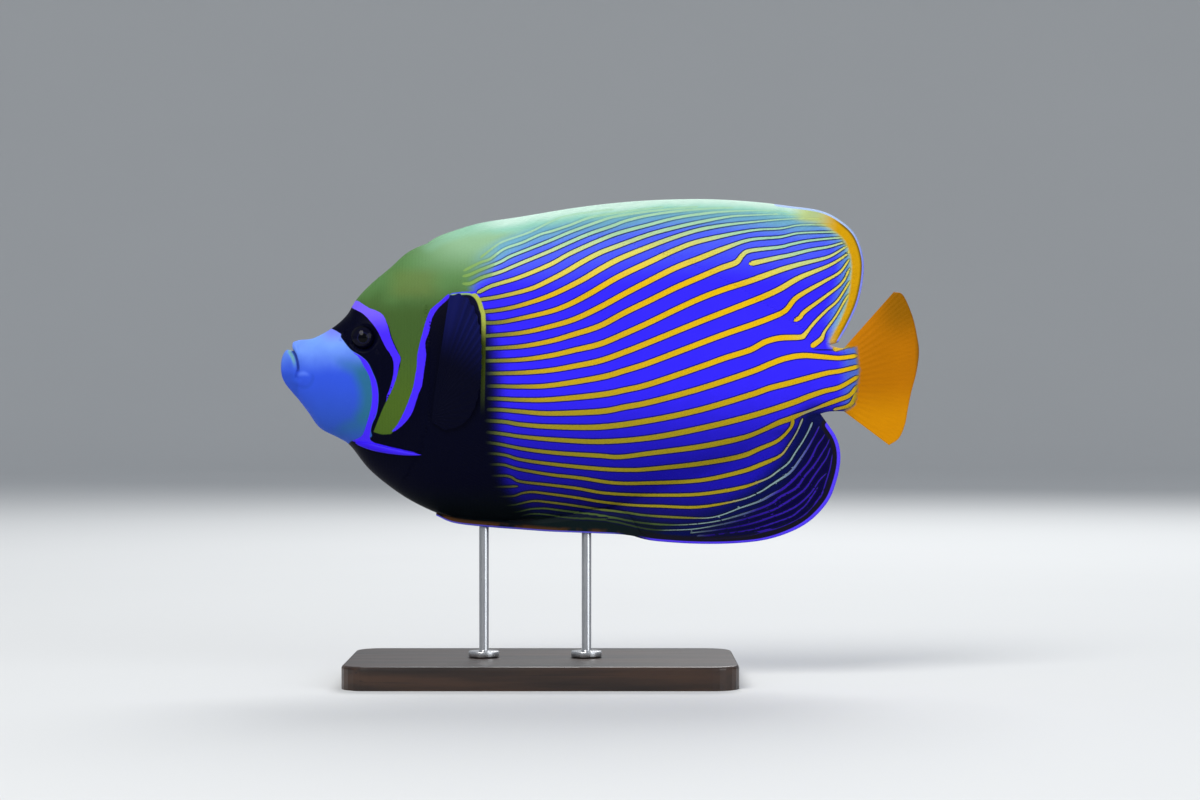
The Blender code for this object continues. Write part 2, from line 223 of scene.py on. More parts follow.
def feed(tree, sockets, values):
    # numbers, colours or other nodes' outputs into these sockets
    for name, value in values.items():
        if isinstance(value, bpy.types.NodeSocket):
            tree.links.new(value, sockets[name])
        else:
            sockets[name].default_value = value


def addNode(tree, kind, values, output=0, **settings):
    node = tree.nodes.new(kind)
    for name, value in settings.items():
        setattr(node, name, value)
    feed(tree, node.inputs, values)
    return node.outputs[output]


def newMaterial(name, colour, roughness, metallic=0.0):
    # a material, its nodes, the inputs of its shader and the place that is shaded
    look = bpy.data.materials.new(name)
    look.use_nodes = True
    tree = look.node_tree
    shader = tree.nodes["Principled BSDF"].inputs
    feed(tree, shader, {"Base Color": (*colour, 1.0), "Roughness": roughness, "Metallic": metallic})
    return look, tree, shader, shadedPlace(tree)


def shadedPlace(tree):
    return addNode(tree, "ShaderNodeTexCoord", {}, "Object")


def sums(tree, operation, *values):
    return addNode(tree, "ShaderNodeMath", dict(enumerate(values)), operation=operation)


def both(tree, *shares):
    # product of several masks
    total = shares[0]
    for share in shares[1:]:
        total = sums(tree, "MULTIPLY", total, share)
    return total


def plus(tree, value, by, amount):
    # value + by * amount
    return sums(tree, "MULTIPLY_ADD", by, amount, value)


def fade(tree, value, start, end):
    # 0 at start, 1 at end, smooth between
    values = {"Value": value, "From Min": start, "From Max": end}
    return addNode(tree, "ShaderNodeMapRange", values, "Result", interpolation_type="SMOOTHSTEP")


def blend(tree, share, under, over):
    values = {"Factor": share, "A": under, "B": over}
    return addNode(tree, "ShaderNodeMix", values, "Result", data_type="RGBA")


def noise(tree, place, scale, detail=2.0):
    return addNode(tree, "ShaderNodeTexNoise", {"Vector": place, "Scale": scale, "Detail": detail}, "Fac")


def stretched(tree, place, scale):
    return addNode(tree, "ShaderNodeMapping", {"Vector": place, "Scale": scale}, "Vector")


def split(tree, value):
    return tuple(addNode(tree, "ShaderNodeSeparateXYZ", {"Vector": value}).node.outputs)


def markParts(tree, name):
    # the three numbers of a mark on the vertices
    return split(tree, addNode(tree, "ShaderNodeAttribute", {}, "Vector", attribute_name=name))


def runHeight(tree, place):
    # run and height in millimetres at a shaded place
    parts = split(tree, place)
    return plus(tree, halfLength, parts[0], 1 / mm), sums(tree, "MULTIPLY", parts[2], 1 / mm)


def addBump(tree, height, strength, distance=0.0002):
    normal = addNode(tree, "ShaderNodeBump", {"Height": height, "Strength": strength, "Distance": distance})
    feed(tree, tree.nodes["Principled BSDF"].inputs, {"Normal": normal})


def newGroup(name, inputs, outputs):
    group = bpy.data.node_groups.new(name, "ShaderNodeTree")
    for label in inputs:
        group.interface.new_socket(label, in_out="INPUT", socket_type="NodeSocketFloat")
    for label, kind in outputs.items():
        group.interface.new_socket(label, in_out="OUTPUT", socket_type="NodeSocket" + kind)
    return group, group.nodes.new("NodeGroupInput").outputs, group.nodes.new("NodeGroupOutput").inputs


def groupNode(tree, group, values):
    return addNode(tree, "ShaderNodeGroup", values, node_tree=group).node.outputs


# Curves and the shape of the body

body = {
    "back": ((9.7, 176.0), (17.1, 177.1), (26.9, 182.5), (34.1, 189.0), (38.8, 196.7), (46.0, 204.5),
             (56.4, 213.3), (66.7, 222.1), (82.0, 228.0), (103.0, 232.3), (124.0, 233.4), (144.5, 232.7),
             (165.0, 229.8), (191.0, 223.4), (217.0, 213.6), (238.0, 203.0), (258.0, 190.5),
             (274.0, 179.3), (286.0, 172.6), (294.0, 171.6)),
    "keel": ((9.7, 144.4), (14.0, 138.8), (20.2, 130.5), (30.0, 125.3), (36.0, 121.2), (46.0, 108.8),
             (60.5, 97.2), (74.0, 89.5), (87.4, 84.4), (103.0, 82.0), (124.0, 81.9), (144.5, 84.0),
             (165.0, 88.2), (186.0, 93.9), (206.5, 101.0), (227.0, 109.8), (248.0, 120.8),
             (268.5, 132.8), (281.5, 138.6), (294.0, 139.2)),
    "halfWidth": ((9.7, 8.0), (20.0, 11.4), (35.0, 15.2), (45.0, 17.4), (60.0, 20.3), (75.0, 22.8),
                  (90.0, 24.0), (110.0, 24.4), (140.0, 23.4), (170.0, 20.9), (200.0, 17.4), (230.0, 13.4),
                  (255.0, 10.0), (275.0, 7.3), (294.0, 5.0)),
    "widest": ((9.7, 160.0), (30.0, 156.0), (60.0, 152.0), (110.0, 152.0), (200.0, 157.0), (294.0, 155.4)),
    "sharpness": 0.6,         # 0.5 is an ellipse, more is sharper along the back and the keel
    "crestSharpness": 0.25,   # added to it along the crest that a fin stands on
    "crestReach": 0.7,
    "crestLengths": (30.0, 10.0),
    "coatDepth": 0.25,        # how far the skin lies inside the scales
    "muzzleRun": 9.7,
    "tailRun": 291.0,
    "rows": 150,
    "columns": 238,
    "muzzleColumns": 24,
    "roundRows": 0.75,        # how far the rows gather along the back and the keel
}

fins = {
    "dorsalBase": (76.0, 284.0),
    "dorsalEdge": ((76.0, 226.4), (80.5, 229.2), (87.4, 231.9), (103.0, 236.5), (124.0, 239.8),
                   (155.0, 244.8), (185.0, 247.9), (217.0, 248.9), (243.0, 247.6), (263.0, 245.3),
                   (279.0, 242.9), (289.1, 238.0), (297.0, 230.5), (301.0, 219.5), (301.2, 209.0),
                   (298.6, 196.0), (293.8, 184.8), (288.2, 174.8)),
    "analBase": (168.0, 279.0),
    "analEdge": ((169.5, 82.5), (178.0, 76.6), (188.3, 72.9), (201.0, 71.4), (217.0, 70.6), (233.0, 70.8),
                 (247.2, 72.1), (258.0, 74.7), (268.4, 79.1), (276.5, 85.0), (283.5, 93.5), (287.4, 103.6),
                 (289.2, 112.4), (289.0, 119.7), (287.0, 126.1), (283.2, 132.0)),
    "pelvicEdge": ((80.5, 85.4), (90.0, 81.6), (108.0, 79.6), (124.0, 78.4), (140.0, 77.2), (160.0, 76.4),
                   (176.0, 75.6), (187.5, 73.8)),
    "rows": 24,
    "tailEdge": ((317.0, 201.0), (321.7, 199.3), (326.4, 189.0), (328.9, 178.6), (330.0, 169.5),
                 (328.6, 159.0), (326.0, 149.0), (324.2, 140.0), (322.7, 132.1), (319.6, 125.2),
                 (314.5, 121.6)),
    "tailColumns": 60,
    "rootHalf": 1.65,
    "edgeHalf": 0.45,
    "rim": 1.1,               # width of the rounding along a free edge
    "startFade": 16.0,        # a fin thickens over this length behind its front end
    "endFade": 8.0,
    "rootFade": 16.0,         # how far its root spreads into the body
    "rootMix": 1.7,           # 2 is a plain mix of fin and body, less is a wider one
    "dorsalRays": 34,
    "analRays": 24,
    "rayHeight": 0.07,
    "tailRays": 17,
    "tailRayHeight": 0.10,
    "tailSplit": (0.35, 0.8), # shares of its length over which each ray of the tail splits in two
    "tailRoot": 0.12,         # share over which the stalk passes into the tail
    "tailThinning": 2.4,      # 1 thins evenly, more thins sooner
    "finThinning": 1.5,
}

swing = {"start": 262.0, "full": 310.0, "slope": 0.6}


def smoothPath(points, steps=8):
    # a dense run of points on a smooth curve through the given ones
    knots = np.array(points, float)
    knots = np.vstack([2 * knots[0] - knots[1], knots, 2 * knots[-1] - knots[-2]])
    path = []
    for before, start, end, after in zip(knots, knots[1:], knots[2:], knots[3:]):
        for step in range(steps):
            t = step / steps
            path.append(0.5 * (2 * start + (end - before) * t
                               + (2 * before - 5 * start + 4 * end - after) * t ** 2
                               + (3 * start - before - 3 * end + after) * t ** 3))
    path.append(knots[-2])
    return np.array(path)


def valueAt(path, run):
    return np.interp(run, path[:, 0], path[:, 1])


def alongPath(path, share):
    # points at these shares of a path's length
    steps = np.hypot(*np.diff(path, axis=0).T)
    walked = np.concatenate([[0.0], np.cumsum(steps)])
    at = np.asarray(share) * walked[-1]
    return np.stack([np.interp(at, walked, path[:, 0]), np.interp(at, walked, path[:, 1])], axis=-1)


def easy(value, start, end):
    # 0 at start, 1 at end, smooth between
    t = np.clip((value - start) / (end - start), 0.0, 1.0)
    return t * t * (3 - 2 * t)


def lineDistance(run, height, path):
    # distance to an open line, and its sign: positive on the left of the line's direction
    best = np.full(run.shape, 1e9)
    side = np.ones(run.shape)
    for (ax, az), (bx, bz) in zip(path[:-1], path[1:]):
        dx, dz = bx - ax, bz - az
        t = np.clip(((run - ax) * dx + (height - az) * dz) / (dx * dx + dz * dz + 1e-12), 0, 1)
        gap = np.hypot(run - ax - t * dx, height - az - t * dz)
        near = gap < best
        best = np.where(near, gap, best)
        side = np.where(near, np.sign(dx * (height - az) - dz * (run - ax)), side)
    return best, side


def insideDistance(run, height, outline):
    # distance to a closed outline, positive inside
    closed = np.vstack([outline, outline[:1]])
    gap = lineDistance(run, height, closed)[0]
    inside = np.zeros(run.shape, bool)
    for (ax, az), (bx, bz) in zip(closed[:-1], closed[1:]):
        crosses = (az > height) != (bz > height)
        with np.errstate(divide="ignore", invalid="ignore"):
            at = ax + (height - az) * (bx - ax) / (bz - az)
        inside ^= crosses & (run < at)
    return np.where(inside, gap, -gap)


back = smoothPath(body["back"])
keel = smoothPath(body["keel"])
halfWidth = smoothPath(body["halfWidth"])
widest = smoothPath(body["widest"])
dorsalEdge = smoothPath(fins["dorsalEdge"])
analEdge = smoothPath(fins["analEdge"])
tailEdge = smoothPath(fins["tailEdge"])
pelvicEdge = smoothPath(fins["pelvicEdge"])


def bend(run):
    # sideways swing of the tail
    start, full, slope = swing["start"], swing["full"], swing["slope"]
    curve = slope * np.clip(run - start, 0, full - start) ** 2 / (2 * (full - start))
    return curve + slope * np.clip(run - full, 0, None)


def spreadOut(run, height, share):
    # a place moved away from the middle of the view by this share
    return run + (run - middleRun) * share, height + (height - middleHeight) * share


def swung(run, height):
    # where a place that swings away goes, so that its outline in the view stays the photo's
    return spreadOut(run, height, bend(run) / viewBack)


def seen(run, half, height):
    # where the photo shows a place that lies this far out from the mid plane
    return spreadOut(run, height, half / (viewBack - half))


def columnRuns():
    # columns of the body's grid, with one at each end of a fin's base
    stops = sorted([body["muzzleRun"], *fins["dorsalBase"], *fins["analBase"], body["tailRun"]])
    pitch = (stops[-1] - stops[0]) / body["columns"]
    runs = [stops[0]]
    for start, end in zip(stops, stops[1:]):
        count = max(2, round((end - start) / pitch))
        runs += list(start + (end - start) * np.arange(1, count + 1) / count)
    return np.array(runs)


def baseShare(run, base):
    # 0 at both ends of a fin's base, 1 between
    return easy(run, base[0], base[0] + fins["startFade"]) * easy(run, base[1], base[1] - fins["endFade"])


def roundedOff(distance):
    # 0 on a free edge, 1 from the width of the rim inwards, round between
    share = np.clip(distance / fins["rim"], 0, 1)
    return np.sqrt(np.clip(1 - (1 - share) ** 2, 0, 1))


def rootThickness(run, base):
    # half thickness of a fin where it meets the body, thin at both ends of the base
    near = np.clip(np.minimum(run - base[0], base[1] - run), 0, None)
    swell = (fins["rootHalf"] - fins["edgeHalf"]) * baseShare(run, base)
    return (fins["edgeHalf"] + swell) * roundedOff(near)


def reachAt(run, height):
    # -1 on the keel, 0 at the widest level, 1 on the back
    level = valueAt(widest, run)
    edge = np.where(height > level, valueAt(back, run), valueAt(keel, run))
    return (height - level) / np.abs(edge - level)


def sectionPower(run, reach):
    # the body runs out thinner where it meets a fin than along the bare back or keel
    lead, rear = body["crestLengths"]
    power = body["sharpness"] + 0 * reach * run
    for base, side in ((fins["dorsalBase"], reach > 0), (fins["analBase"], reach < 0)):
        beside = easy(run, base[0], base[0] + lead) * easy(run, base[1], base[1] - rear)
        outer = easy(np.abs(reach), body["crestReach"], 1.0)
        power = power + body["crestSharpness"] * beside * outer * side
    return power


def bodySheet():
    runs = columnRuns()
    turn = np.linspace(-1, 1, body["rows"] + 1)
    gathered = body["roundRows"]
    reach = gathered * np.sin(turn * math.pi / 2) + (1 - gathered) * turn
    run = runs[:, None] + 0 * reach[None, :]
    level = valueAt(widest, runs)[:, None]
    top = valueAt(back, runs)[:, None]
    low = valueAt(keel, runs)[:, None]
    height = level + np.where(reach > 0, reach * (top - level), reach * (level - low))
    power = sectionPower(run, reach)
    half = valueAt(halfWidth, runs)[:, None] * np.clip(1 - reach ** 2, 0, 1) ** power
    half = half - body["coatDepth"] * np.clip(half, 0, 1)
    mix = fins["rootMix"]
    for base, depth in ((fins["dorsalBase"], top - height), (fins["analBase"], height - low)):
        root = rootThickness(run, base) * (1 - easy(depth, 0, fins["rootFade"]))
        half = (half ** mix + root ** mix) ** (1 / mix)
    return run, height, half


def finSheet(baseLine, base, edge, runs, rays):
    # straight rays from the body out to the fin's edge
    inner = runs[(runs >= base[0] - 1e-6) & (runs <= base[1] + 1e-6)]
    share = (inner - base[0]) / (base[1] - base[0])
    start = np.stack([inner, valueAt(baseLine, inner)], axis=-1)[:, None, :]
    end = alongPath(edge, share)[:, None, :]
    out = 1 - (1 - np.linspace(0, 1, fins["rows"] + 1)) ** 1.4     # rows gather along the edge
    place = start + (end - start) * out[None, :, None]
    run, height = place[..., 0], place[..., 1]
    left = 1 - out[None, :]
    clear = left * np.hypot(*(end - start)[:, 0].T)[:, None]
    for ray in (0, -1):
        away = lineDistance(run, height, place[ray][[0, -1]])[0]
        away[ray] = 0.0
        clear = np.minimum(clear, away)
    clear[0] = clear[-1] = 0.0
    swell = (fins["rootHalf"] - fins["edgeHalf"]) * baseShare(inner, base)[:, None]
    ridge = np.cos(2 * math.pi * rays * share)[:, None] * np.clip(out[None, :] * 3, 0, 1)
    half = fins["edgeHalf"] + swell * left ** fins["finThinning"] + fins["rayHeight"] * ridge
    return run, height, half * roundedOff(clear)


def tailSheet(root):
    # the tail fin's fan, from the last column of the body to its rear edge
    rootRun, rootHeight, rootHalf = root
    rise = (rootHeight - rootHeight[0]) / (rootHeight[-1] - rootHeight[0])
    end = alongPath(tailEdge, 1 - rise)[None, :, :]
    start = np.stack([rootRun, rootHeight], axis=-1)[None, :, :]
    t = np.linspace(0, 1, fins["tailColumns"] + 1)
    out = (0.75 * t + 0.25 * np.sin(t * math.pi / 2))[:, None]     # columns gather along the edge
    place = start + (end - start) * out[..., None]
    run, height = place[..., 0], place[..., 1]
    clear = (1 - out) * np.hypot(*(end - start)[0].T)[None, :]
    for edge in (0, -1):
        clear = np.minimum(clear, lineDistance(run, height, place[:, edge][[0, -1]])[0])
    turn = 2 * math.pi * fins["tailRays"] * rise[None, :]
    halved = easy(out, *fins["tailSplit"])
    ridge = np.cos(turn) * (1 - halved) + 0.7 * np.cos(2 * turn) * halved
    swell = np.clip(rootHalf, fins["edgeHalf"], None)[None, :] - fins["edgeHalf"]
    thick = fins["edgeHalf"] + swell * (1 - out) ** fins["tailThinning"]
    fin = (thick + fins["tailRayHeight"] * ridge * np.clip(out * 4, 0, 1)) * roundedOff(clear)
    own = easy(out, 0, fins["tailRoot"])
    half = rootHalf[None, :] * (1 - own) + fin * own
    half[-1] = 0.0
    half[:, 0] = half[:, -1] = 0.0
    return run, height, half


# Mouth: the lower jaw ahead of the upper lip, closed along one line

mouth = {
    "corner": (9.7, 160.0),
    "line": ((9.7, 160.0), (9.6, 162.6), (9.1, 165.2), (8.0, 168.2), (6.5, 170.4)),
    "jawEdge": ((9.2, 145.1), (5.0, 149.9), (2.0, 153.8), (0.3, 158.0), (0.0, 163.6), (0.9, 168.0),
                (3.0, 170.9), (6.5, 170.4)),
    "lipEdge": ((6.5, 170.4), (5.9, 172.4), (6.3, 174.8), (8.8, 175.8)),
    "groove": ((6.5, 170.4), (8.0, 168.2), (9.1, 165.2), (9.6, 162.6), (9.7, 160.6), (9.2, 158.8),
               (9.0, 156.8)),
    "grooveDepth": 1.3,
    "grooveWidth": 2.0,
    "lipSwell": 0.55,
    "lipReach": 3.0,
    "lipWidth": 1.5,
    "fade": 4.5,              # length behind the corner over which they run out
}


def patchSheet(rear, front, low, high):
    # a smooth patch between four edges that meet at their ends
    up = np.linspace(0, 1, len(rear))[:, None, None]
    out = np.linspace(0, 1, len(low))[None, :, None]
    place = (1 - out) * rear[:, None] + out * front[:, None] + (1 - up) * low[None] + up * high[None]
    place = place - ((1 - up) * (1 - out) * rear[0] + (1 - up) * out * front[0]
                     + up * (1 - out) * rear[-1] + up * out * front[-1])
    return place[..., 0], place[..., 1]


def muzzleSheets(column):
    # jaw and upper lip patches ahead of the first column of the body
    rootRun, rootHeight, rootHalf = column
    middle = body["rows"] // 2
    steps = np.linspace(0, 1, body["muzzleColumns"] + 1)
    rear = np.stack([rootRun, rootHeight], axis=-1)
    line = alongPath(smoothPath(mouth["line"]), steps)
    line[0] = rear[middle]
    patches = []
    for name, rows in (("jaw", slice(0, middle + 1)), ("lip", slice(middle, None))):
        part = rear[rows]
        front = alongPath(smoothPath(mouth[name + "Edge"]), np.linspace(0, 1, len(part)))
        end = 0 if name == "jaw" else -1
        outer = part[end] + (front[end] - part[end]) * steps[:, None]
        low, high = (outer, line) if name == "jaw" else (line, outer)
        run, height = patchSheet(part, front, low, high)
        half = addRelief(run.T, height.T, (rootHalf[rows][:, None] * np.sqrt(1 - steps[None, :] ** 2)).T)
        half[-1] = 0.0
        half[:, end] = 0.0
        patches.append((run.T, height.T, half))
    return patches


# Relief of the head: mouth, eye socket, gill cover, nostrils

head = {
    "eye": (43.7, 176.8),
    "eyeRadius": 7.6,
    "eyeProud": 1.2,
    "eyeShown": 5.7,          # radius of the eyeball that the lids leave open
    "lidWidth": 1.5,
    "lidSwell": 0.4,
    "lidSoftness": 1.1,
    "gillRun": 78.0,
    "gillSweep": (10.0, 20.0),
    "gillStep": 0.45,
    "gillFade": (10.0, 1.6),  # lengths over which it runs out ahead and behind
    "cheekGap": 26.0,         # from the rear edge of the cheek to that of the gill cover
    "cheekStep": 0.2,
    "cheekFade": (7.0, 1.5),
    "nostrils": ((33.6, 178.6, 1.2), (31.2, 175.4, 0.9)),
    "nostrilDepth": 0.8,
    "nostrilRim": 0.15,
    "lipBulge": (12.2, 156.4, 4.2, 0.6),
    "bulgeFold": 0.22,
}


def plainHalf(run, height):
    # half thickness of the body without its relief
    reach = np.clip(reachAt(run, height), -1, 1)
    return valueAt(halfWidth, run) * (1 - reach ** 2) ** sectionPower(run, reach)


eyeDepth = float(plainHalf(*np.array(head["eye"]))) + head["eyeProud"] - head["eyeRadius"]


def mound(distance, width):
    # 1 at a distance of 0, soft on both sides
    return np.exp(-(distance / width) ** 2)


def ledge(ahead, fades, drop):
    # rises to a step, then drops below the surface behind it
    return np.where(ahead > 0, np.exp(-ahead / fades[0]), -drop * np.exp(ahead / fades[1]))


def addRelief(run, height, half):
    gap = lineDistance(run, height, mouthLine)[0]
    past = np.clip(1 - (run - mouth["corner"][0]) / mouth["fade"], 0, 1)
    rise = mouth["lipSwell"] * past * mound(gap - mouth["lipReach"], mouth["lipWidth"])
    rise -= mouth["grooveDepth"] * past * (1 - np.clip(gap / mouth["grooveWidth"], 0, 1)) ** 2
    u, v, reach, swell = head["lipBulge"]
    away = np.hypot(run - u, height - v)
    rise += swell * mound(away, reach)
    rise -= head["bulgeFold"] * mound(away - reach - 0.8, 1.0) * easy(run + (v - height), u, u + 3.0)
    for u, v, radius in head["nostrils"]:
        away = np.hypot(run - u, height - v)
        rise -= head["nostrilDepth"] * mound(away, radius)
        rise += head["nostrilRim"] * mound(away - 1.8 * radius, 0.5)
    reach = reachAt(run, height)
    ahead = head["gillRun"] - np.where(reach > 0, *head["gillSweep"]) * reach ** 2 - run
    cover = easy(reach, -0.97, -0.8) * easy(reach, 0.78, 0.45)
    rise += cover * head["gillStep"] * ledge(ahead, head["gillFade"], 0.45)
    rise += cover * head["cheekStep"] * ledge(ahead - head["cheekGap"], head["cheekFade"], 0.3)
    away = np.hypot(run - head["eye"][0], height - head["eye"][1])
    shown, lid = head["eyeShown"], head["lidWidth"]
    rise += head["lidSwell"] * mound(away - shown - lid, head["lidSoftness"])
    shaped = half + rise * np.clip(half / 2.0, 0, 1)
    ball = eyeDepth + np.sqrt(np.clip(head["eyeRadius"] ** 2 - away ** 2, 0, None))
    under = np.where(away < head["eyeRadius"], ball - 0.5 - 0.9 * (away < shown - 0.4), shaped)
    opened = 1 - easy(away, shown - 0.1, shown + lid)
    return np.where(half > 0, np.maximum(shaped + (under - shaped) * opened, 0.2), 0.0)


mouthLine = smoothPath(mouth["groove"], 4)


def makeSheets():
    # run, height and half thickness of every part of the left side
    run, height, half = bodySheet()
    shaped = addRelief(run, height, half)
    jaw, lip = muzzleSheets((run[0], height[0], half[0]))
    return {
        "body": (run, height, shaped),
        "jaw": jaw,
        "lip": lip,
        "dorsal": finSheet(back, fins["dorsalBase"], dorsalEdge, run[:, 0], fins["dorsalRays"]),
        "anal": finSheet(keel, fins["analBase"], analEdge, run[:, 0], fins["analRays"]),
        "tail": tailSheet((run[-1], height[-1], shaped[-1])),
    }


sheets = makeSheets()
print("sheets worked out")


# The coat's map: every column of the body run on over the fins, by distance around from the mid line

mapStep = 0.5
mapReach = 150.0
mapTail = 0.4     # share of the tail's columns that it goes on over


def sheetLine(name, at):
    # places along one column of a sheet, from the bottom up
    run, height, half = sheets[name]
    return np.stack([run[at], half[at], height[at]], axis=-1)


def makeMap():
    # places, outward directions, and how far around the fins and their edges are
    around = np.arange(-mapReach, mapReach + mapStep / 2, mapStep)
    runs = sheets["body"][0][:, 0]
    starts = {name: int(np.argmin(np.abs(runs - fins[name + "Base"][0]))) for name in ("anal", "dorsal")}
    places, limits = [], []
    for column in range(len(runs) + int(len(sheets["tail"][0]) * mapTail) - 1):
        past = column - len(runs) + 1
        line = sheetLine("tail", past) if past > 0 else sheetLine("body", column)
        low, centre, high = 0, body["rows"] // 2, len(line) - 1
        at = column - starts["anal"]
        if 0 <= at < len(sheets["anal"][0]):
            more = sheetLine("anal", at)[:0:-1]
            line = np.vstack([more, line])
            low, centre, high = (place + len(more) for place in (low, centre, high))
        at = column - starts["dorsal"]
        if 0 <= at < len(sheets["dorsal"][0]):
            line = np.vstack([line, sheetLine("dorsal", at)[1:]])
        walked = np.concatenate([[0], np.cumsum(np.linalg.norm(np.diff(line, axis=0), axis=1))])
        walked -= walked[centre]
        places.append(np.stack([np.interp(around, walked, line[:, k]) for k in range(3)], axis=-1))
        limits.append((walked[0], walked[low], walked[high], walked[-1]))
    places = np.array(places)
    normal = np.cross(np.gradient(places, axis=1), np.gradient(places, axis=0))
    normal *= np.sign(normal[..., 1:2]) + (normal[..., 1:2] == 0)
    size = np.linalg.norm(normal, axis=-1, keepdims=True)
    normal = np.where(size > 1e-6, normal / np.maximum(size, 1e-6), np.array((0.0, 1.0, 0.0)))
    return places, normal, np.array(limits)


mapPlaces, mapNormals, mapLimits = makeMap()
print("coat's map worked out:", mapPlaces.shape)


def onMap(column, around):
    # place and outward direction at a column and a distance around, both any number
    i = np.clip(column, 0, len(mapPlaces) - 1.001)
    m = np.clip((around + mapReach) / mapStep, 0, mapPlaces.shape[1] - 1.001)
    i0, m0 = i.astype(int), m.astype(int)
    fi, fm = (i - i0)[..., None], (m - m0)[..., None]
    found = []
    for grid in (mapPlaces, mapNormals):
        found.append((grid[i0, m0] * (1 - fi) + grid[i0 + 1, m0] * fi) * (1 - fm)
                     + (grid[i0, m0 + 1] * (1 - fi) + grid[i0 + 1, m0 + 1] * fi) * fm)
    place, normal = found
    return place, normal / np.maximum(np.linalg.norm(normal, axis=-1, keepdims=True), 1e-6)


# Markings: yellow lines, read off the photo from front to rear

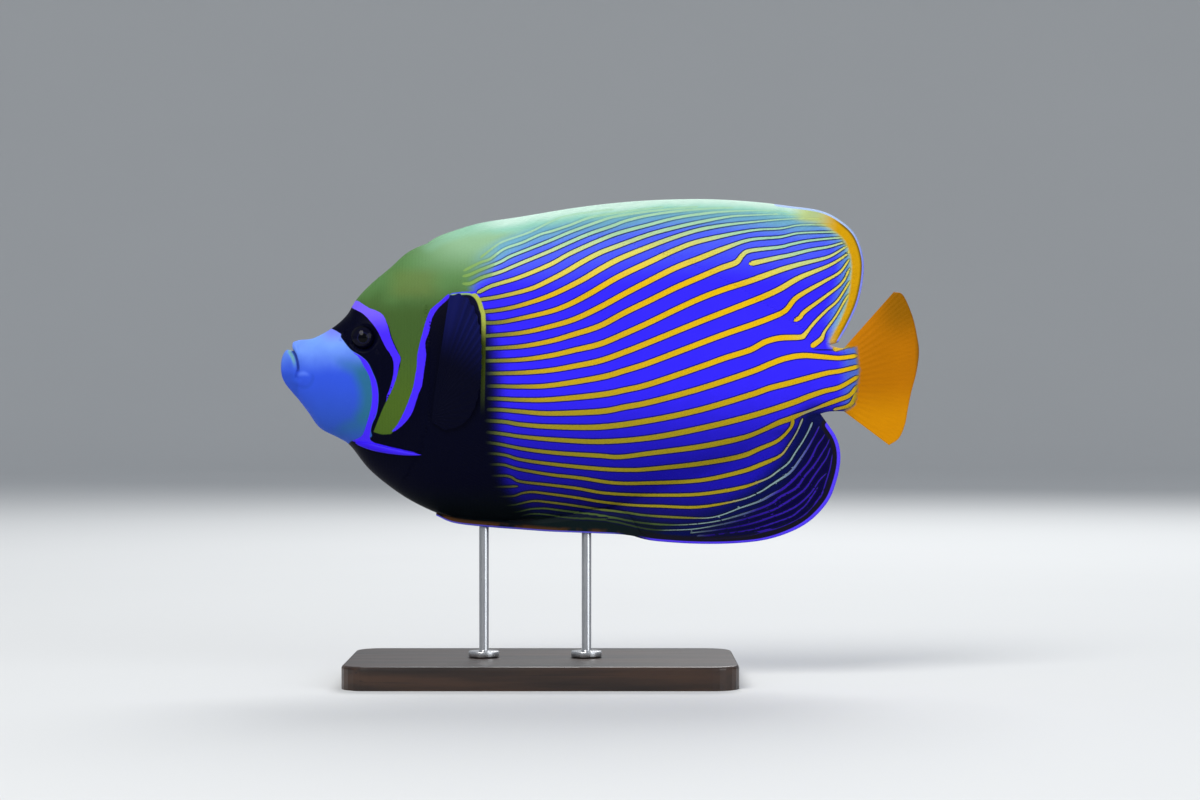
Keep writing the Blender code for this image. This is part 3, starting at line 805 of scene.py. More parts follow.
stripes = {
    "topFaint": ((480, 258), (490, 250), (500, 243), (510, 239), (530, 232), (550, 222), (565, 216),
        (590, 212), (615, 209)),
    "top": ((463, 271), (480, 262.5), (490, 259), (504, 249), (522, 242.5), (540, 234.5), (552, 231),
        (570, 225), (590, 217.5), (615, 213), (640, 209.5), (665, 207)),
    "one": ((462, 276.5), (470, 274.5), (480, 270), (500, 262), (510, 256.5), (530, 248.5), (550, 240.5),
        (570, 232), (600, 221), (615, 216.5), (640, 212.5), (670, 209), (700, 206.5)),
    "two": ((462, 283.5), (470, 283.5), (482, 277.5), (500, 272), (520, 263.5), (550, 251), (570, 242),
        (590, 233.5), (612, 226), (625, 221), (645, 216), (670, 212), (700, 209), (735, 207.5)),
    "three": ((477, 293), (490, 286.5), (500, 283.3), (520, 277), (550, 264.5), (570, 253.5), (600, 240),
        (620, 232.5), (650, 224.4), (675, 218), (700, 214), (725, 211.5), (760, 210.5), (790, 211.5)),
    "four": ((478, 300), (500, 296.5), (530, 289), (550, 280), (567, 271), (583, 261.5), (600, 252.7),
        (620, 245), (650, 234.2), (675, 227.5), (700, 221.9), (730, 216.5), (750, 215.2), (780, 214.2),
        (806, 215)),
    "five": ((482, 312), (500, 309.8), (520, 305.5), (550, 295.5), (580, 281), (600, 269.2),
        (620, 258.5), (650, 246.2), (675, 237), (700, 229.5), (725, 225), (750, 222.2), (780, 219.5),
        (800, 218.7), (822, 219)),
    "six": ((482.5, 323), (500, 322.3), (520, 318.5), (550, 311.5), (570, 304), (590, 293.5),
        (600, 287.5), (620, 276), (650, 261.7), (675, 250), (700, 241), (750, 230.6), (780, 228.5),
        (800, 225), (828, 225), (834, 225.5)),
    "seven": ((483, 336.2), (520, 333), (550, 326.5), (575, 319), (600, 307.2), (625, 293.5),
        (650, 280.5), (675, 268), (700, 258), (725, 248), (750, 239.7), (780, 237), (800, 233),
        (838, 232), (843, 233)),
    "eight": ((483, 348.8), (520, 346.5), (550, 341.2), (575, 334), (600, 325.8), (625, 312.5),
        (650, 300.4), (675, 288), (700, 277.1), (720, 268.5), (736, 262.5), (742, 255.5), (750, 250.6),
        (780, 247), (790, 244.5), (810, 240.5), (842, 237.5), (846, 238)),
    "eightLower": ((749, 264), (780, 257), (790, 255), (810, 250), (828, 247), (840, 243.5), (847, 242)),
    "nine": ((483, 361), (520, 359.7), (550, 355.7), (575, 350), (600, 344), (625, 333.5), (650, 322.2),
        (675, 310), (700, 298.5), (725, 289), (750, 281), (780, 270), (800, 264), (828, 257), (844, 248),
        (849, 246)),
    "ten": ((483, 373.6), (520, 372.8), (550, 370.3), (575, 366), (600, 360.8), (625, 352), (650, 342.1),
        (700, 321.6), (750, 302), (765, 296), (780, 289), (800, 277.5), (830, 265), (846, 255),
        (850, 251)),
    "eleven": ((486, 386), (500, 386.2), (520, 386.6), (550, 385.5), (600, 377.5), (625, 370.5),
        (650, 362.5), (700, 343.4), (725, 334), (750, 325.4), (770, 318), (785, 311), (795, 299),
        (808, 290.5), (825, 281), (840, 272), (849.5, 259)),
    "elevenLower": ((794, 321), (800, 317.5), (805, 311.5), (826, 296), (842, 283), (850, 268)),
    "twelve": ((486, 398.4), (500, 398.8), (520, 399.8), (550, 399.6), (600, 394.8), (625, 390),
        (650, 384), (700, 367), (725, 358), (750, 350), (765, 342), (780, 338), (800, 337), (805, 334),
        (815, 322), (827, 310), (838, 300), (850, 281)),
    "twelveLower": ((811, 347), (821, 339), (825, 331), (836, 316), (844, 302), (849, 294)),
    "thirteen": ((486, 409.6), (500, 409.8), (520, 411.5), (550, 413.5), (600, 411.5), (625, 407),
        (650, 402.2), (700, 388.7), (750, 372.2), (770, 364), (785, 358.5), (803, 355.5), (825, 357),
        (840, 358), (858, 355.5)),
    "thirteenUpper": ((833, 350), (848, 345.5), (856, 344.5)),
    "fourteen": ((484, 420.6), (500, 421.4), (510, 422.6), (520, 424.4), (550, 426.7), (600, 427),
        (650, 420.4), (700, 409.8), (750, 395), (770, 388), (790, 382.9), (825, 373.5), (840, 371),
        (860, 366)),
    "fifteen": ((485, 432), (500, 433.6), (510, 435), (520, 436.5), (550, 439.4), (600, 441.7),
        (650, 437.9), (700, 428.5), (750, 416.3), (790, 403.7), (810, 396), (825, 391), (840, 387),
        (859, 376)),
    "sixteen": ((482, 442), (500, 444.3), (510, 446.4), (530, 450), (560, 453.3), (600, 455.8),
        (620, 457), (650, 453.3), (700, 446.7), (740, 438.5), (760, 431.5), (780, 422.5), (790, 419),
        (803, 413.5), (837, 400.5), (850, 395), (858, 385)),
    "sixteenLower": ((833, 410), (850, 405), (857, 392)),
    "seventeen": ((482, 453.6), (495, 453.8), (507, 455.6), (520, 459.5), (550, 463.9), (600, 468.9),
        (630, 470), (650, 469), (700, 463.7), (740, 456.5), (760, 448.5), (778, 440.5), (790, 429),
        (793, 422), (792.5, 419)),
    "eighteen": ((484, 464.5), (502, 464.7), (511, 467), (520, 469.5), (550, 474.6), (580, 478),
        (615, 483), (650, 483), (700, 480.4), (740, 472), (760, 465), (780, 456), (789, 445), (797, 432),
        (803, 418)),
    "nineteen": ((488, 476), (505, 475.8), (512, 477.5), (520, 481.5), (550, 485), (578, 488.5),
        (600, 492.5), (625, 494.5), (660, 495.2), (700, 494.2), (740, 488), (760, 481.5), (770, 477),
        (778, 471), (785, 466), (790, 461), (796, 451.5), (803, 441), (809, 430), (812.5, 422)),
    "nineteenLower": ((490, 487), (505, 486.8), (518.5, 486.2)),
    "twenty": ((494, 497), (504, 496.5), (514, 496), (522, 493.2), (532, 492), (545, 493.4),
        (575, 497.5), (600, 501.7), (630, 505), (660, 506.2), (700, 507), (740, 500), (760, 492),
        (770, 485.5), (778, 480.5), (790, 472.5), (799, 461), (807, 449), (814, 437), (819.5, 426)),
    "twentyOne": ((503, 506), (516, 504.6), (527, 502), (535, 501), (545, 501.8), (570, 505),
        (600, 509.5), (625, 512.5), (650, 515.8), (700, 518.2), (720, 515.5), (740, 508), (760, 501),
        (773, 494), (781, 490), (790, 483), (801, 471.5), (810, 460), (817, 446), (822, 439), (825, 434)),
    "twentyTwo": ((509, 513), (520, 511.4), (530, 509.2), (542, 508.4), (550, 509), (565, 511),
        (600, 515.4), (630, 521), (650, 523.8), (675, 525), (700, 523.6), (720, 520.5), (740, 515),
        (760, 508.5), (773, 502.5), (780, 497), (796, 488), (805, 476), (814, 465.5), (822.5, 452.5),
        (827, 445), (830, 438)),
    "twentyThree": ((520, 516), (532, 514), (545, 514.5), (570, 518), (600, 519.5), (620, 523),
        (650, 529.4), (675, 530), (700, 528.3), (735, 521.5), (750, 517.5), (773, 510), (782, 505),
        (792.5, 498.5), (805, 489), (814, 476), (822.5, 464), (827, 457), (830.5, 447)),
    "violetOne": ((690, 533), (720, 529.5), (750, 524), (775, 515.8), (786, 511.5), (798, 505),
        (810, 494), (819, 481), (824, 475.5), (827, 473)),
    "violetTwo": ((695, 536.5), (720, 534), (750, 530), (775, 522.5), (791.5, 516.5), (798, 511.7),
        (805, 505.8), (811.5, 497), (818, 487)),
    "violetThree": ((700, 540), (745, 536.5), (765, 531), (777, 528.3), (790, 523.3), (798, 519.2),
        (807, 513), (817, 501), (822, 494), (825, 485), (830, 468.5), (832.5, 454)),
}

stripeForm = {
    "middle": 1.34,           # half width of a line on the flank
    "front": 0.62,            # as a share of that, at the front ends
    "frontRuns": (104.0, 170.0),
    "topShare": 0.38,
    "topReach": (4.0, 32.0),  # distances below the dorsal fin's edge over which lines widen
    "lowShare": 0.26,
    "lowReach": (3.0, 56.0),
    "rimShare": 0.40,
    "rimReach": (6.0, 38.0),  # the same from the dorsal fin's rear edge
    "whitishShare": 0.42,
    "violetShare": 0.85,
    "rearShare": 0.70,
    "rearRuns": (300.0, 262.0),
    "startRound": 1.0,
    "endRound": 2.0,
    "beyond": 3.0,
    "firstRun": 92.0,         # no lines ahead of this
}
lone = ("eightLower", "elevenLower", "twelveLower", "thirteenUpper", "sixteenLower", "nineteenLower")

# smooth lines, in three sets so that a line and its neighbours are never in the same one
stripeLines = {name: smoothPath(fromPhoto(points), 6) for name, points in stripes.items()}
whole = [name for name in stripes if name not in lone]
stripeSets = [whole[0::2], whole[1::2], list(lone)]


def lineHalf(place, fromStart, toEnd):
    # half width of a line at places beside it, less than 0 beyond its ends
    form = stripeForm
    run, height, topGap, lowGap, rimGap, violet = place
    rimGap = rimGap + 60 * easy(height, 182.0, 170.0)
    lowGap = lowGap + 60 * easy(height, 128.0, 140.0)
    half = form["middle"] * (form["front"] + (1 - form["front"]) * easy(run, *form["frontRuns"]))
    for name, value in (("top", topGap), ("low", lowGap), ("rim", rimGap)):
        least = form[name + "Share"]
        near, far = form[name + "Reach"]
        half = half * (least + (1 - least) * np.clip((value - near) / (far - near), 0, 1))
    half = half * (form["rearShare"] + (1 - form["rearShare"]) * easy(run, *form["rearRuns"]))
    half = half * (1 - (1 - form["whitishShare"]) * easy(violet, -9.0, -2.0)
                   + (form["violetShare"] - form["whitishShare"]) * easy(violet, 0.0, 6.0))
    ends = np.minimum(fromStart / form["startRound"], toEnd / form["endRound"])
    beyond = np.maximum(np.minimum(fromStart, toEnd), -form["beyond"])
    return np.where(ends > 0, half * np.clip(ends, 0, 1) ** 0.5, beyond)


def alongLine(run, height, path):
    # signed distance to a line, and the distances along it from its start and to its end
    steps = np.diff(path, axis=0)
    lengths = np.hypot(*steps.T)
    walked = np.concatenate([[0.0], np.cumsum(lengths)])
    gap = np.full(run.shape, 1e9)
    side = np.ones(run.shape)
    into = np.zeros(run.shape)
    last = len(lengths) - 1
    for at, ((ax, az), (dx, dz), length) in enumerate(zip(path, steps, lengths)):
        reach = ((run - ax) * dx + (height - az) * dz) / length
        kept = np.clip(reach, 0, length)
        away = np.hypot(run - ax - kept * dx / length, height - az - kept * dz / length)
        near = away < gap
        gap = np.where(near, away, gap)
        side = np.where(near, np.sign(dx * (height - az) - dz * (run - ax)), side)
        # only the two ends of the line go on beyond themselves
        reach = np.clip(reach, None if at == 0 else 0, None if at == last else length)
        into = np.where(near, walked[at] + reach, into)
    return gap * side, into, walked[-1] - into


def stripeTree(names):
    # thin upright ribbons that stand for the lines, to find the nearest one fast
    corners, faces, starts, ends, into, left = [], [], [], [], [], []
    for name in names:
        path = stripeLines[name]
        walked = np.concatenate([[0], np.cumsum(np.hypot(*np.diff(path, axis=0).T))])
        for start, end, before in zip(path, path[1:], walked):
            a = len(corners)
            corners += [(run, across, height) for run, height in (start, end) for across in (-1.0, 1.0)]
            faces.append((a, a + 1, a + 3, a + 2))
            starts.append(start)
            ends.append(end)
            into.append(before)
            left.append(walked[-1] - before)
    return BVHTree.FromPolygons(corners, faces), *(np.array(part) for part in (starts, ends, into, left))


stripeTrees = [stripeTree(names) for names in stripeSets]


def stripeTurns(place):
    # for the skin: turn between neighbouring lines as cosine and sine, their spacing, the half width
    run, height = place[:2]
    count = len(run)
    gaps, sides, halves = np.empty((3, count)), np.empty((3, count)), np.empty((3, count))
    for which, (tree, starts, ends, into, left) in enumerate(stripeTrees):
        piece = np.empty(count, int)
        for at, (x, z) in enumerate(zip(run.tolist(), height.tolist())):
            piece[at], gaps[which, at] = tree.find_nearest((x, 0.0, z))[2:]
        a, d = starts[piece], ends[piece] - starts[piece]
        along = ((run - a[:, 0]) * d[:, 0] + (height - a[:, 1]) * d[:, 1]) / np.hypot(d[:, 0], d[:, 1])
        sides[which] = np.sign(d[:, 0] * (height - a[:, 1]) - d[:, 1] * (run - a[:, 0]))
        halves[which] = lineHalf(place, into[piece] + along, left[piece] - along)
    order = np.argsort(gaps, axis=0)
    pick = np.arange(count)
    nearest = gaps[order[0], pick]
    spacing = nearest + gaps[order[1], pick]
    turn = 2 * math.pi * sides[order[0], pick] * nearest / np.maximum(spacing, 0.01)
    return np.cos(turn), np.sin(turn), np.minimum(spacing, 30.0), halves[order[0], pick]


def stripeGaps(place):
    # for the scales, one row each: signed distances to the three lines nearest to a scale, half widths
    run, height = place[:2]
    centre = (run.mean(axis=1), height.mean(axis=1))
    names = list(stripeLines)
    away = np.array([np.abs(alongLine(*centre, stripeLines[name])[0]) for name in names])
    nearest = np.argsort(away, axis=0)[:3]
    gaps = np.full((3, *run.shape), 20.0)
    halves = np.full((3, *run.shape), -3.0)
    for at, name in enumerate(names):
        for rank in range(3):
            own = nearest[rank] == at
            if own.any():
                gap, fromStart, toEnd = alongLine(run[own], height[own], stripeLines[name])
                gaps[rank][own] = gap
                halves[rank][own] = lineHalf([part[own] for part in place], fromStart, toEnd)
    return gaps, halves


# Markings: outlines of the face, the bands and the dark front of the body, read off the photo

regions = {
    "face": ((270, 300), (336, 330), (341.5, 337), (351, 349), (360, 354.6), (368, 361.5), (373, 371),
        (377, 381), (379, 391.5), (379, 403), (377, 415), (373, 424), (371.5, 431), (371.5, 438),
        (351, 442), (320, 470), (250, 440)),
    "lineOne": ((342, 336.5), (351, 349), (360, 354.6), (368, 361.5), (373, 371), (377, 381),
        (379, 391.5), (379, 403), (377, 415), (373, 424), (371.5, 431), (371.5, 440), (385, 444.6),
        (408, 450), (421, 453), (408, 455.5), (387, 452.5), (370, 447.5), (358, 443.5), (350, 441),
        (356, 438), (362, 434), (367, 419), (370.5, 405), (371, 391), (368.5, 377), (362.5, 366),
        (358.5, 358.5), (350, 350.5), (341, 338)),
    "lineTwo": ((350, 308), (353, 301), (358, 300), (369, 307), (377, 310), (384, 315), (389, 327),
        (392, 338), (397, 349), (401.5, 358), (400, 365), (398, 375), (394.6, 386), (390, 396),
        (384.5, 405), (386, 396), (389, 388), (392, 376.5), (393, 366), (391, 357), (385, 348),
        (381, 340), (376, 330), (369, 321), (362, 314)),
    "lineThree": ((450, 293), (449.5, 299), (440.5, 307), (433, 318), (430, 332), (426, 343), (427, 355),
        (425, 370), (422.6, 386), (419, 395), (413, 413), (405, 424), (395, 432), (390, 432.5),
        (397, 423.5), (403, 412), (408, 400), (412, 388), (414, 378), (416, 366), (416.5, 355),
        (419, 343), (423, 328), (426, 318), (430, 309), (438, 302), (447, 294)),
    "olive": ((330, 290), (353, 303), (369, 309), (383, 315), (389, 327), (392, 338), (397, 349),
        (401, 358), (400, 366), (397, 375), (393, 386), (389, 396), (384, 406), (379, 418), (373.5, 432),
        (382, 434.5), (391, 434), (400, 424), (409, 411), (416, 395), (419, 384), (421, 366), (421, 352),
        (423, 342), (427, 325), (433, 313), (443, 301), (448, 296), (452, 293), (462, 291.8),
        (474, 291.5), (490, 285), (520, 150), (330, 150)),
    "dark": ((448, 298), (452, 296), (460, 295), (470, 295), (476, 300), (479.5, 310), (481.5, 324),
        (480.5, 400), (480.5, 420), (481.5, 440), (483.5, 455), (486, 470), (489, 485), (494, 497),
        (501, 506), (508, 514), (516, 522), (520, 545), (522, 600), (200, 600), (200, 300), (335, 300),
        (430, 300)),
    "violet": ((660, 545), (668, 537), (688, 530), (710, 521), (742, 505), (770, 482), (788, 461),
        (799, 440), (805, 424), (812, 416), (822, 416), (850, 420), (900, 430), (900, 600), (660, 600)),
    "tail": ((840, 345.5), (849, 336), (866, 318), (880, 300), (900, 270), (1000, 270), (1000, 470),
        (845, 470), (845, 412), (855, 405), (857, 395), (858, 385), (860, 370), (858, 360), (857, 347)),
}

regionOutlines = {name: np.array(fromPhoto(points)) for name, points in regions.items()}
for name in ("face", "lineOne", "lineTwo", "lineThree", "dark", "violet"):
    outline = regionOutlines[name]
    regionOutlines[name] = smoothPath(np.vstack([outline, outline[:1]]), 3)[:-1]

dorsalTop = dorsalEdge[dorsalEdge[:, 0] < 270]
dorsalTop = dorsalTop[:int(np.argmax(dorsalTop[:, 0])) + 1]
dorsalRear = dorsalEdge[int(np.argmax(dorsalEdge[:, 0] > 255)):]
lowEdge = np.vstack([keel[keel[:, 0] < 80], pelvicEdge, analEdge[analEdge[:, 0] > 188]])


def bodyMarks(run, height, plainRun, plainHeight):
    # what the paint reads at a place: distances inside outlines and to edges, in threes
    inside = {name: insideDistance(run, height, outline) for name, outline in regionOutlines.items()}
    topGap, dorsalRim, analGap, lowGap = (lineDistance(run, height, edge)[0]
                                          for edge in (dorsalTop, dorsalRear, analEdge, lowEdge))
    mouthGap, mouthSide = lineDistance(plainRun, plainHeight, mouthLine)
    lines = np.maximum(np.maximum(inside["lineOne"], inside["lineTwo"]), inside["lineThree"])
    return {
        "frontMark": (inside["face"], lines, inside["olive"]),
        "zoneMark": (inside["dark"], inside["violet"], topGap),
        "rimMark": (dorsalRim, analGap, inside["tail"]),
        "lowMark": (lowGap, mouthGap * mouthSide, 0 * lowGap),
    }


def linePlace(run, height, marks):
    # what the width of a line depends on
    return run, height, marks["zoneMark"][2], marks["lowMark"][0], marks["rimMark"][0], marks["zoneMark"][1]


def skinMarks(plainRun, half, plainHeight):
    run, height = seen(plainRun, half, plainHeight)
    marks = bodyMarks(run, height, plainRun, plainHeight)
    turn = [np.full(run.shape, fill) for fill in (-1.0, 0.0, 20.0, -3.0)]
    striped = run > stripeForm["firstRun"]
    found = stripeTurns([part[striped] for part in linePlace(run, height, marks)])
    for values, part in zip(turn, found):
        values[striped] = part
    marks["stripeTurn"] = turn[:3]
    marks["stripeHalf"] = turn[3:] * 3
    return marks


def scaleMarks(plainRun, half, plainHeight):
    run, height = seen(plainRun, half, plainHeight)
    marks = bodyMarks(run, height, plainRun, plainHeight)
    marks["stripeGap"], marks["stripeHalf"] = stripeGaps(linePlace(run, height, marks))
    return marks


def addMarks(mesh, marks):
    for name, parts in marks.items():
        layer = mesh.attributes.new(name, "FLOAT_VECTOR", "POINT")
        values = np.stack([part.ravel() for part in parts], axis=-1)
        layer.data.foreach_set("vector", values.astype(np.float32).ravel())


# Paint of the body, one group that the skin and the scales share

paint = {
    "blue": (54, 40, 250),
    "blueLow": (28, 20, 172),
    "blueDeep": (18, 14, 92),
    "slate": (12, 24, 26),
    "blueHigh": (86, 106, 246),
    "tealHigh": (112, 170, 196),
    "paleHigh": (150, 208, 186),
    "dorsalEdge": (206, 236, 220),
    "yellow": (232, 186, 12),
    "yellowLow": (166, 146, 26),
    "yellowHigh": (224, 212, 92),
    "yellowPale": (168, 212, 174),
    "yellowFront": (142, 178, 84),
    "yellowDim": (94, 110, 56),
    "bellyLine": (74, 94, 50),
    "lineEdge": (12, 16, 44),
    "whitish": (134, 160, 160),
    "violetLine": (50, 26, 158),
    "analTeal": (6, 14, 74),
    "analDark": (6, 1, 58),
    "analMargin": (88, 64, 250),
    "analOlive": (22, 20, 26),
    "rearGold": (214, 158, 4),
    "rearPaleGold": (196, 204, 110),
    "rearOlive": (70, 66, 12),
    "rearPale": (176, 200, 240),
    "dark": (2, 3, 24),
    "darkLow": (6, 12, 16),
    "pectoral": (10, 14, 52),
    "nape": (92, 134, 78),
    "napeHigh": (146, 186, 146),
    "olive": (66, 95, 44),
    "oliveLow": (76, 104, 36),
    "olivePatch": (110, 112, 44),
    "faceCrest": (122, 136, 250),
    "faceTop": (126, 172, 252),
    "faceMiddle": (52, 87, 220),
    "faceLow": (50, 88, 190),
    "faceEdge": (44, 112, 130),
    # painted shadow in the mouth's groove
    "mouthGap": (34, 52, 140),
    # painted highlight along the top edge of the lower lip
    "lipHighlight": (112, 170, 160),
    # pale blue of the upper lip's top, and the painted highlight on the bulge at the lip's corner
    "lipPaleAndHighlight": (112, 150, 255),
    # darker front of the jaw, and the painted shadow round the bulge at the lip's corner
    "lipDarkAndShadow": (44, 80, 192),
    "bandLine": (74, 44, 255),
    "bandLineTop": (122, 98, 255),
    "patchLine": (146, 184, 130),
    "patchLineRear": (176, 186, 80),
    "patchLineLow": (62, 74, 22),
    "tail": (190, 115, 0),
    # painted shade on the tail's upper rear, painted light on its lower part
    "tailPaintedShade": (154, 98, 0),
    "tailPaintedLight": (216, 140, 0),
    "tailRim": (84, 70, 14),
    "tailRoot": (124, 112, 52),
    "stalkPale": (88, 122, 184),
}
colours = {name: tint(*levels) for name, levels in paint.items()}


def makeSkinLines():
    # depth inside the nearest line, from the turn between lines
    group, given, wanted = newGroup("skinLines", (), {"Depth": "Float"})
    cosine, sine, spacing = markParts(group, "stripeTurn")
    turn = sums(group, "ABSOLUTE", sums(group, "ARCTAN2", sine, cosine))
    gap = both(group, turn, spacing, 1 / (2 * math.pi))
    feed(group, wanted, {"Depth": sums(group, "SUBTRACT", markParts(group, "stripeHalf")[0], gap)})
    return group


def makeScaleLines():
    # depth inside the nearest of the three lines that each scale knows
    group, given, wanted = newGroup("scaleLines", (), {"Depth": "Float"})
    depths = [sums(group, "SUBTRACT", half, sums(group, "ABSOLUTE", gap))
              for gap, half in zip(markParts(group, "stripeGap"), markParts(group, "stripeHalf"))]
    deepest = sums(group, "MAXIMUM", sums(group, "MAXIMUM", *depths[:2]), depths[2])
    feed(group, wanted, {"Depth": deepest})
    return group


def makeFishPaint():
    group, given, wanted = newGroup("fishPaint", ("Line Depth", "Brightness"),
                                    {"Colour": "Color", "Roughness": "Float"})

    def step(value, first, last):
        return fade(group, value, first, last)

    def more(value, by, amount):
        return plus(group, value, by, amount)

    def away(value):
        return sums(group, "ABSOLUTE", value)

    def lay(under, *layers):
        # colours over one another; a share in brackets is a value, where it starts and where it is full
        for name, *shares in layers:
            over = colours[name] if isinstance(name, str) else name
            shares = [step(*share) if isinstance(share, tuple) else share for share in shares]
            under = blend(group, both(group, *shares), under, over)
        return under

    place = shadedPlace(group)
    run, height = runHeight(group, place)
    ragged = sums(group, "SUBTRACT", noise(group, place, 700, 1), 0.5)
    cloud = noise(group, place, 60, 3)
    broken = noise(group, place, 260, 2)
    face, lines, olive = markParts(group, "frontMark")
    dark, violet, topGap = markParts(group, "zoneMark")
    dorsalRim, analGap, tail = markParts(group, "rimMark")
    lowGap, mouthGap = markParts(group, "lowMark")[:2]

    # ground of the flank
    lowReach = more(lowGap, step(height, 128, 140), 60)
    edgeReach = more(more(topGap, cloud, 4), step(run, 217, 150), -1)
    topReach = more(edgeReach, step(run, 140, 98), -10)
    colour = lay(
        colours["blue"],
        ("blueLow", (height, 156, 108)),
        ("blueDeep", (lowReach, 36, 10)),
        ("slate", (lowReach, 12.5, 7.5), (run, 262, 190)),
        ("blueHigh", (topReach, more(46, step(run, 150, 105), -18), 15)),
        ("tealHigh", (topReach, 20, 10)),
        ("napeHigh", (topReach, 9, 2), (run, 146, 112)),
        ("paleHigh", (edgeReach, 10.5, 5.5)),
        ("dorsalEdge", (edgeReach, 7, 2.5)),
        ("stalkPale", (run, 287, 296), (height, 136, 142), 0.75),
        ("paleHigh", (dorsalRim, 11, 5), (run, 272, 284), (height, 176, 186), 0.6),
        ("tealHigh", (dorsalRim, 16, 7), (run, 266, 280), (height, 182, 196), 0.6),
        ("analTeal", (more(violet, cloud, 3), -8, 2)),
        ("analDark", (violet, 0, 11)))

    # the dark front shades off over the lower flank
    darkColour = lay(
        colours["dark"],
        ("darkLow", (height, 104, 86)),
        ("pectoral", (run, 86, 92), (height, 142, 156), 0.5))
    soft = step(height, 205, 160)
    shadeFrom = more(more(-0.3, soft, -16), both(group, soft, step(height, 128, 98)), 4)
    colour = lay(colour, (darkColour, (dark, shadeFrom, more(0.3, soft, -2))))

    # lines
    gaps = both(group, step(violet, 2, 8), step(broken, 0.52, 0.68))
    depth = more(more(given["Line Depth"], ragged, 0.14), gaps, -0.08)
    lineReach = more(topReach, step(run, 215, 262), -8)
    lineColour = lay(
        colours["yellow"],
        ("yellowLow", (height, 174, 118)),
        ("yellowHigh", (lineReach, 46, 26)),
        ("yellowHigh", (dorsalRim, 30, 12), (height, 172, 180), 0.8),
        ("yellowPale", (lineReach, 30, 14)),
        ("yellowDim", (run, 262, 130), (height, 218, 178), 0.26),
        ("yellowDim", (run, 138, 105), (height, 218, 178)),
        ("slate", (height, 132, 92), (run, 172, 108), 0.7),
        ("yellowFront", (run, 116, 98), (height, 197, 206), 0.85),
        ("bellyLine", (lowReach, 17, 10), (violet, 1, -4)),
        ("slate", (lowReach, 9.5, 6.5), (violet, -2, -7), 0.65),
        ("whitish", (violet, -6, 0)),
        ("violetLine", (violet, 2, 7)),
        ("analDark", (violet, 0, 4), (run, 264, 224), 0.65))
    colour = lay(
        colour,
        ("lineEdge", (depth, -0.95, -0.3), (topReach, 4, 18), 0.9),
        (lineColour, (depth, -0.14, 0.1), more(0.35, step(topReach, 1, 10), 0.65)))

    # margins of the dorsal and anal fins
    tall = step(height, 168, 176)
    below = step(height, 137, 134)
    bandGap = more(more(dorsalRim, ragged, 0.7), step(height, 214, 182), 1.9)
    marginGap = more(analGap, step(run, 240, 280), -0.65)
    rimColour = lay(colours["rearPale"], ("analMargin", (height, 240, 212), 0.55))
    colour = lay(
        colour,
        ("rearPaleGold", (bandGap, 9, 5), (run, 262, 272), tall, 0.75),
        ("rearGold", (bandGap, 7, 5.6), (run, 276, 289), tall),
        ("rearOlive", (dorsalRim, 2.6, 1.2), (run, 258, 270), tall, (run, 284, 292), 0.8),
        (rimColour, (dorsalRim, 1.2, 0.85), (run, 225, 262)),
        ("analOlive", (more(analGap, ragged, 0.8), 4.6, 3.2), below, (run, 176, 196), 0.9),
        ("analMargin", (marginGap, 1.35, 0.9), below, (lowGap, 3, 2.2), (run, 184, 194)))

    # dark front of the body and the line around it
    soft = step(height, 178, 152)
    stripWidth = more(0.9, step(run, 99, 102), 1.3)
    strip = step(dark, both(group, stripWidth, -1.15), both(group, stripWidth, -0.85))
    stripColour = lay(
        colours["patchLine"],
        ("patchLineRear", (run, 97, 101)),
        ("patchLineLow", (height, 188, 172)))
    colour = lay(
        colour,
        (darkColour, (dark, more(-0.3, soft, -13), more(0.3, soft, -1.5))),
        (stripColour, strip, (run, 83, 86), (height, 136, 160)),
        (darkColour, (dark, -0.3, 0.3)))

    # nape and olive band
    oliveColour = lay(
        colours["olive"],
        ("oliveLow", (height, 182, 140)),
        ("nape", (more(height, cloud, 10), 192, 214)),
        ("olivePatch", (run, 52, 64), (run, 88, 74), (height, 194, 202), (height, 216, 208), 0.35),
        ("napeHigh", (run, 58, 96), (height, 206, 228)),
        ("paleHigh", (edgeReach, 8, 3), (run, 60, 110), 0.7))
    patchTop = step(height, 211, 203)
    napeEnd = step(run, more(119, patchTop, -14), more(95, patchTop, 1))
    napeEnd = both(group, sums(group, "MAXIMUM", napeEnd, step(height, 198, 190)), step(olive, -0.25, 0.25))
    colour = lay(
        colour,
        (oliveColour, napeEnd),
        ("yellowFront", napeEnd, (depth, -0.14, 0.1), (run, 88, 98), 0.6))

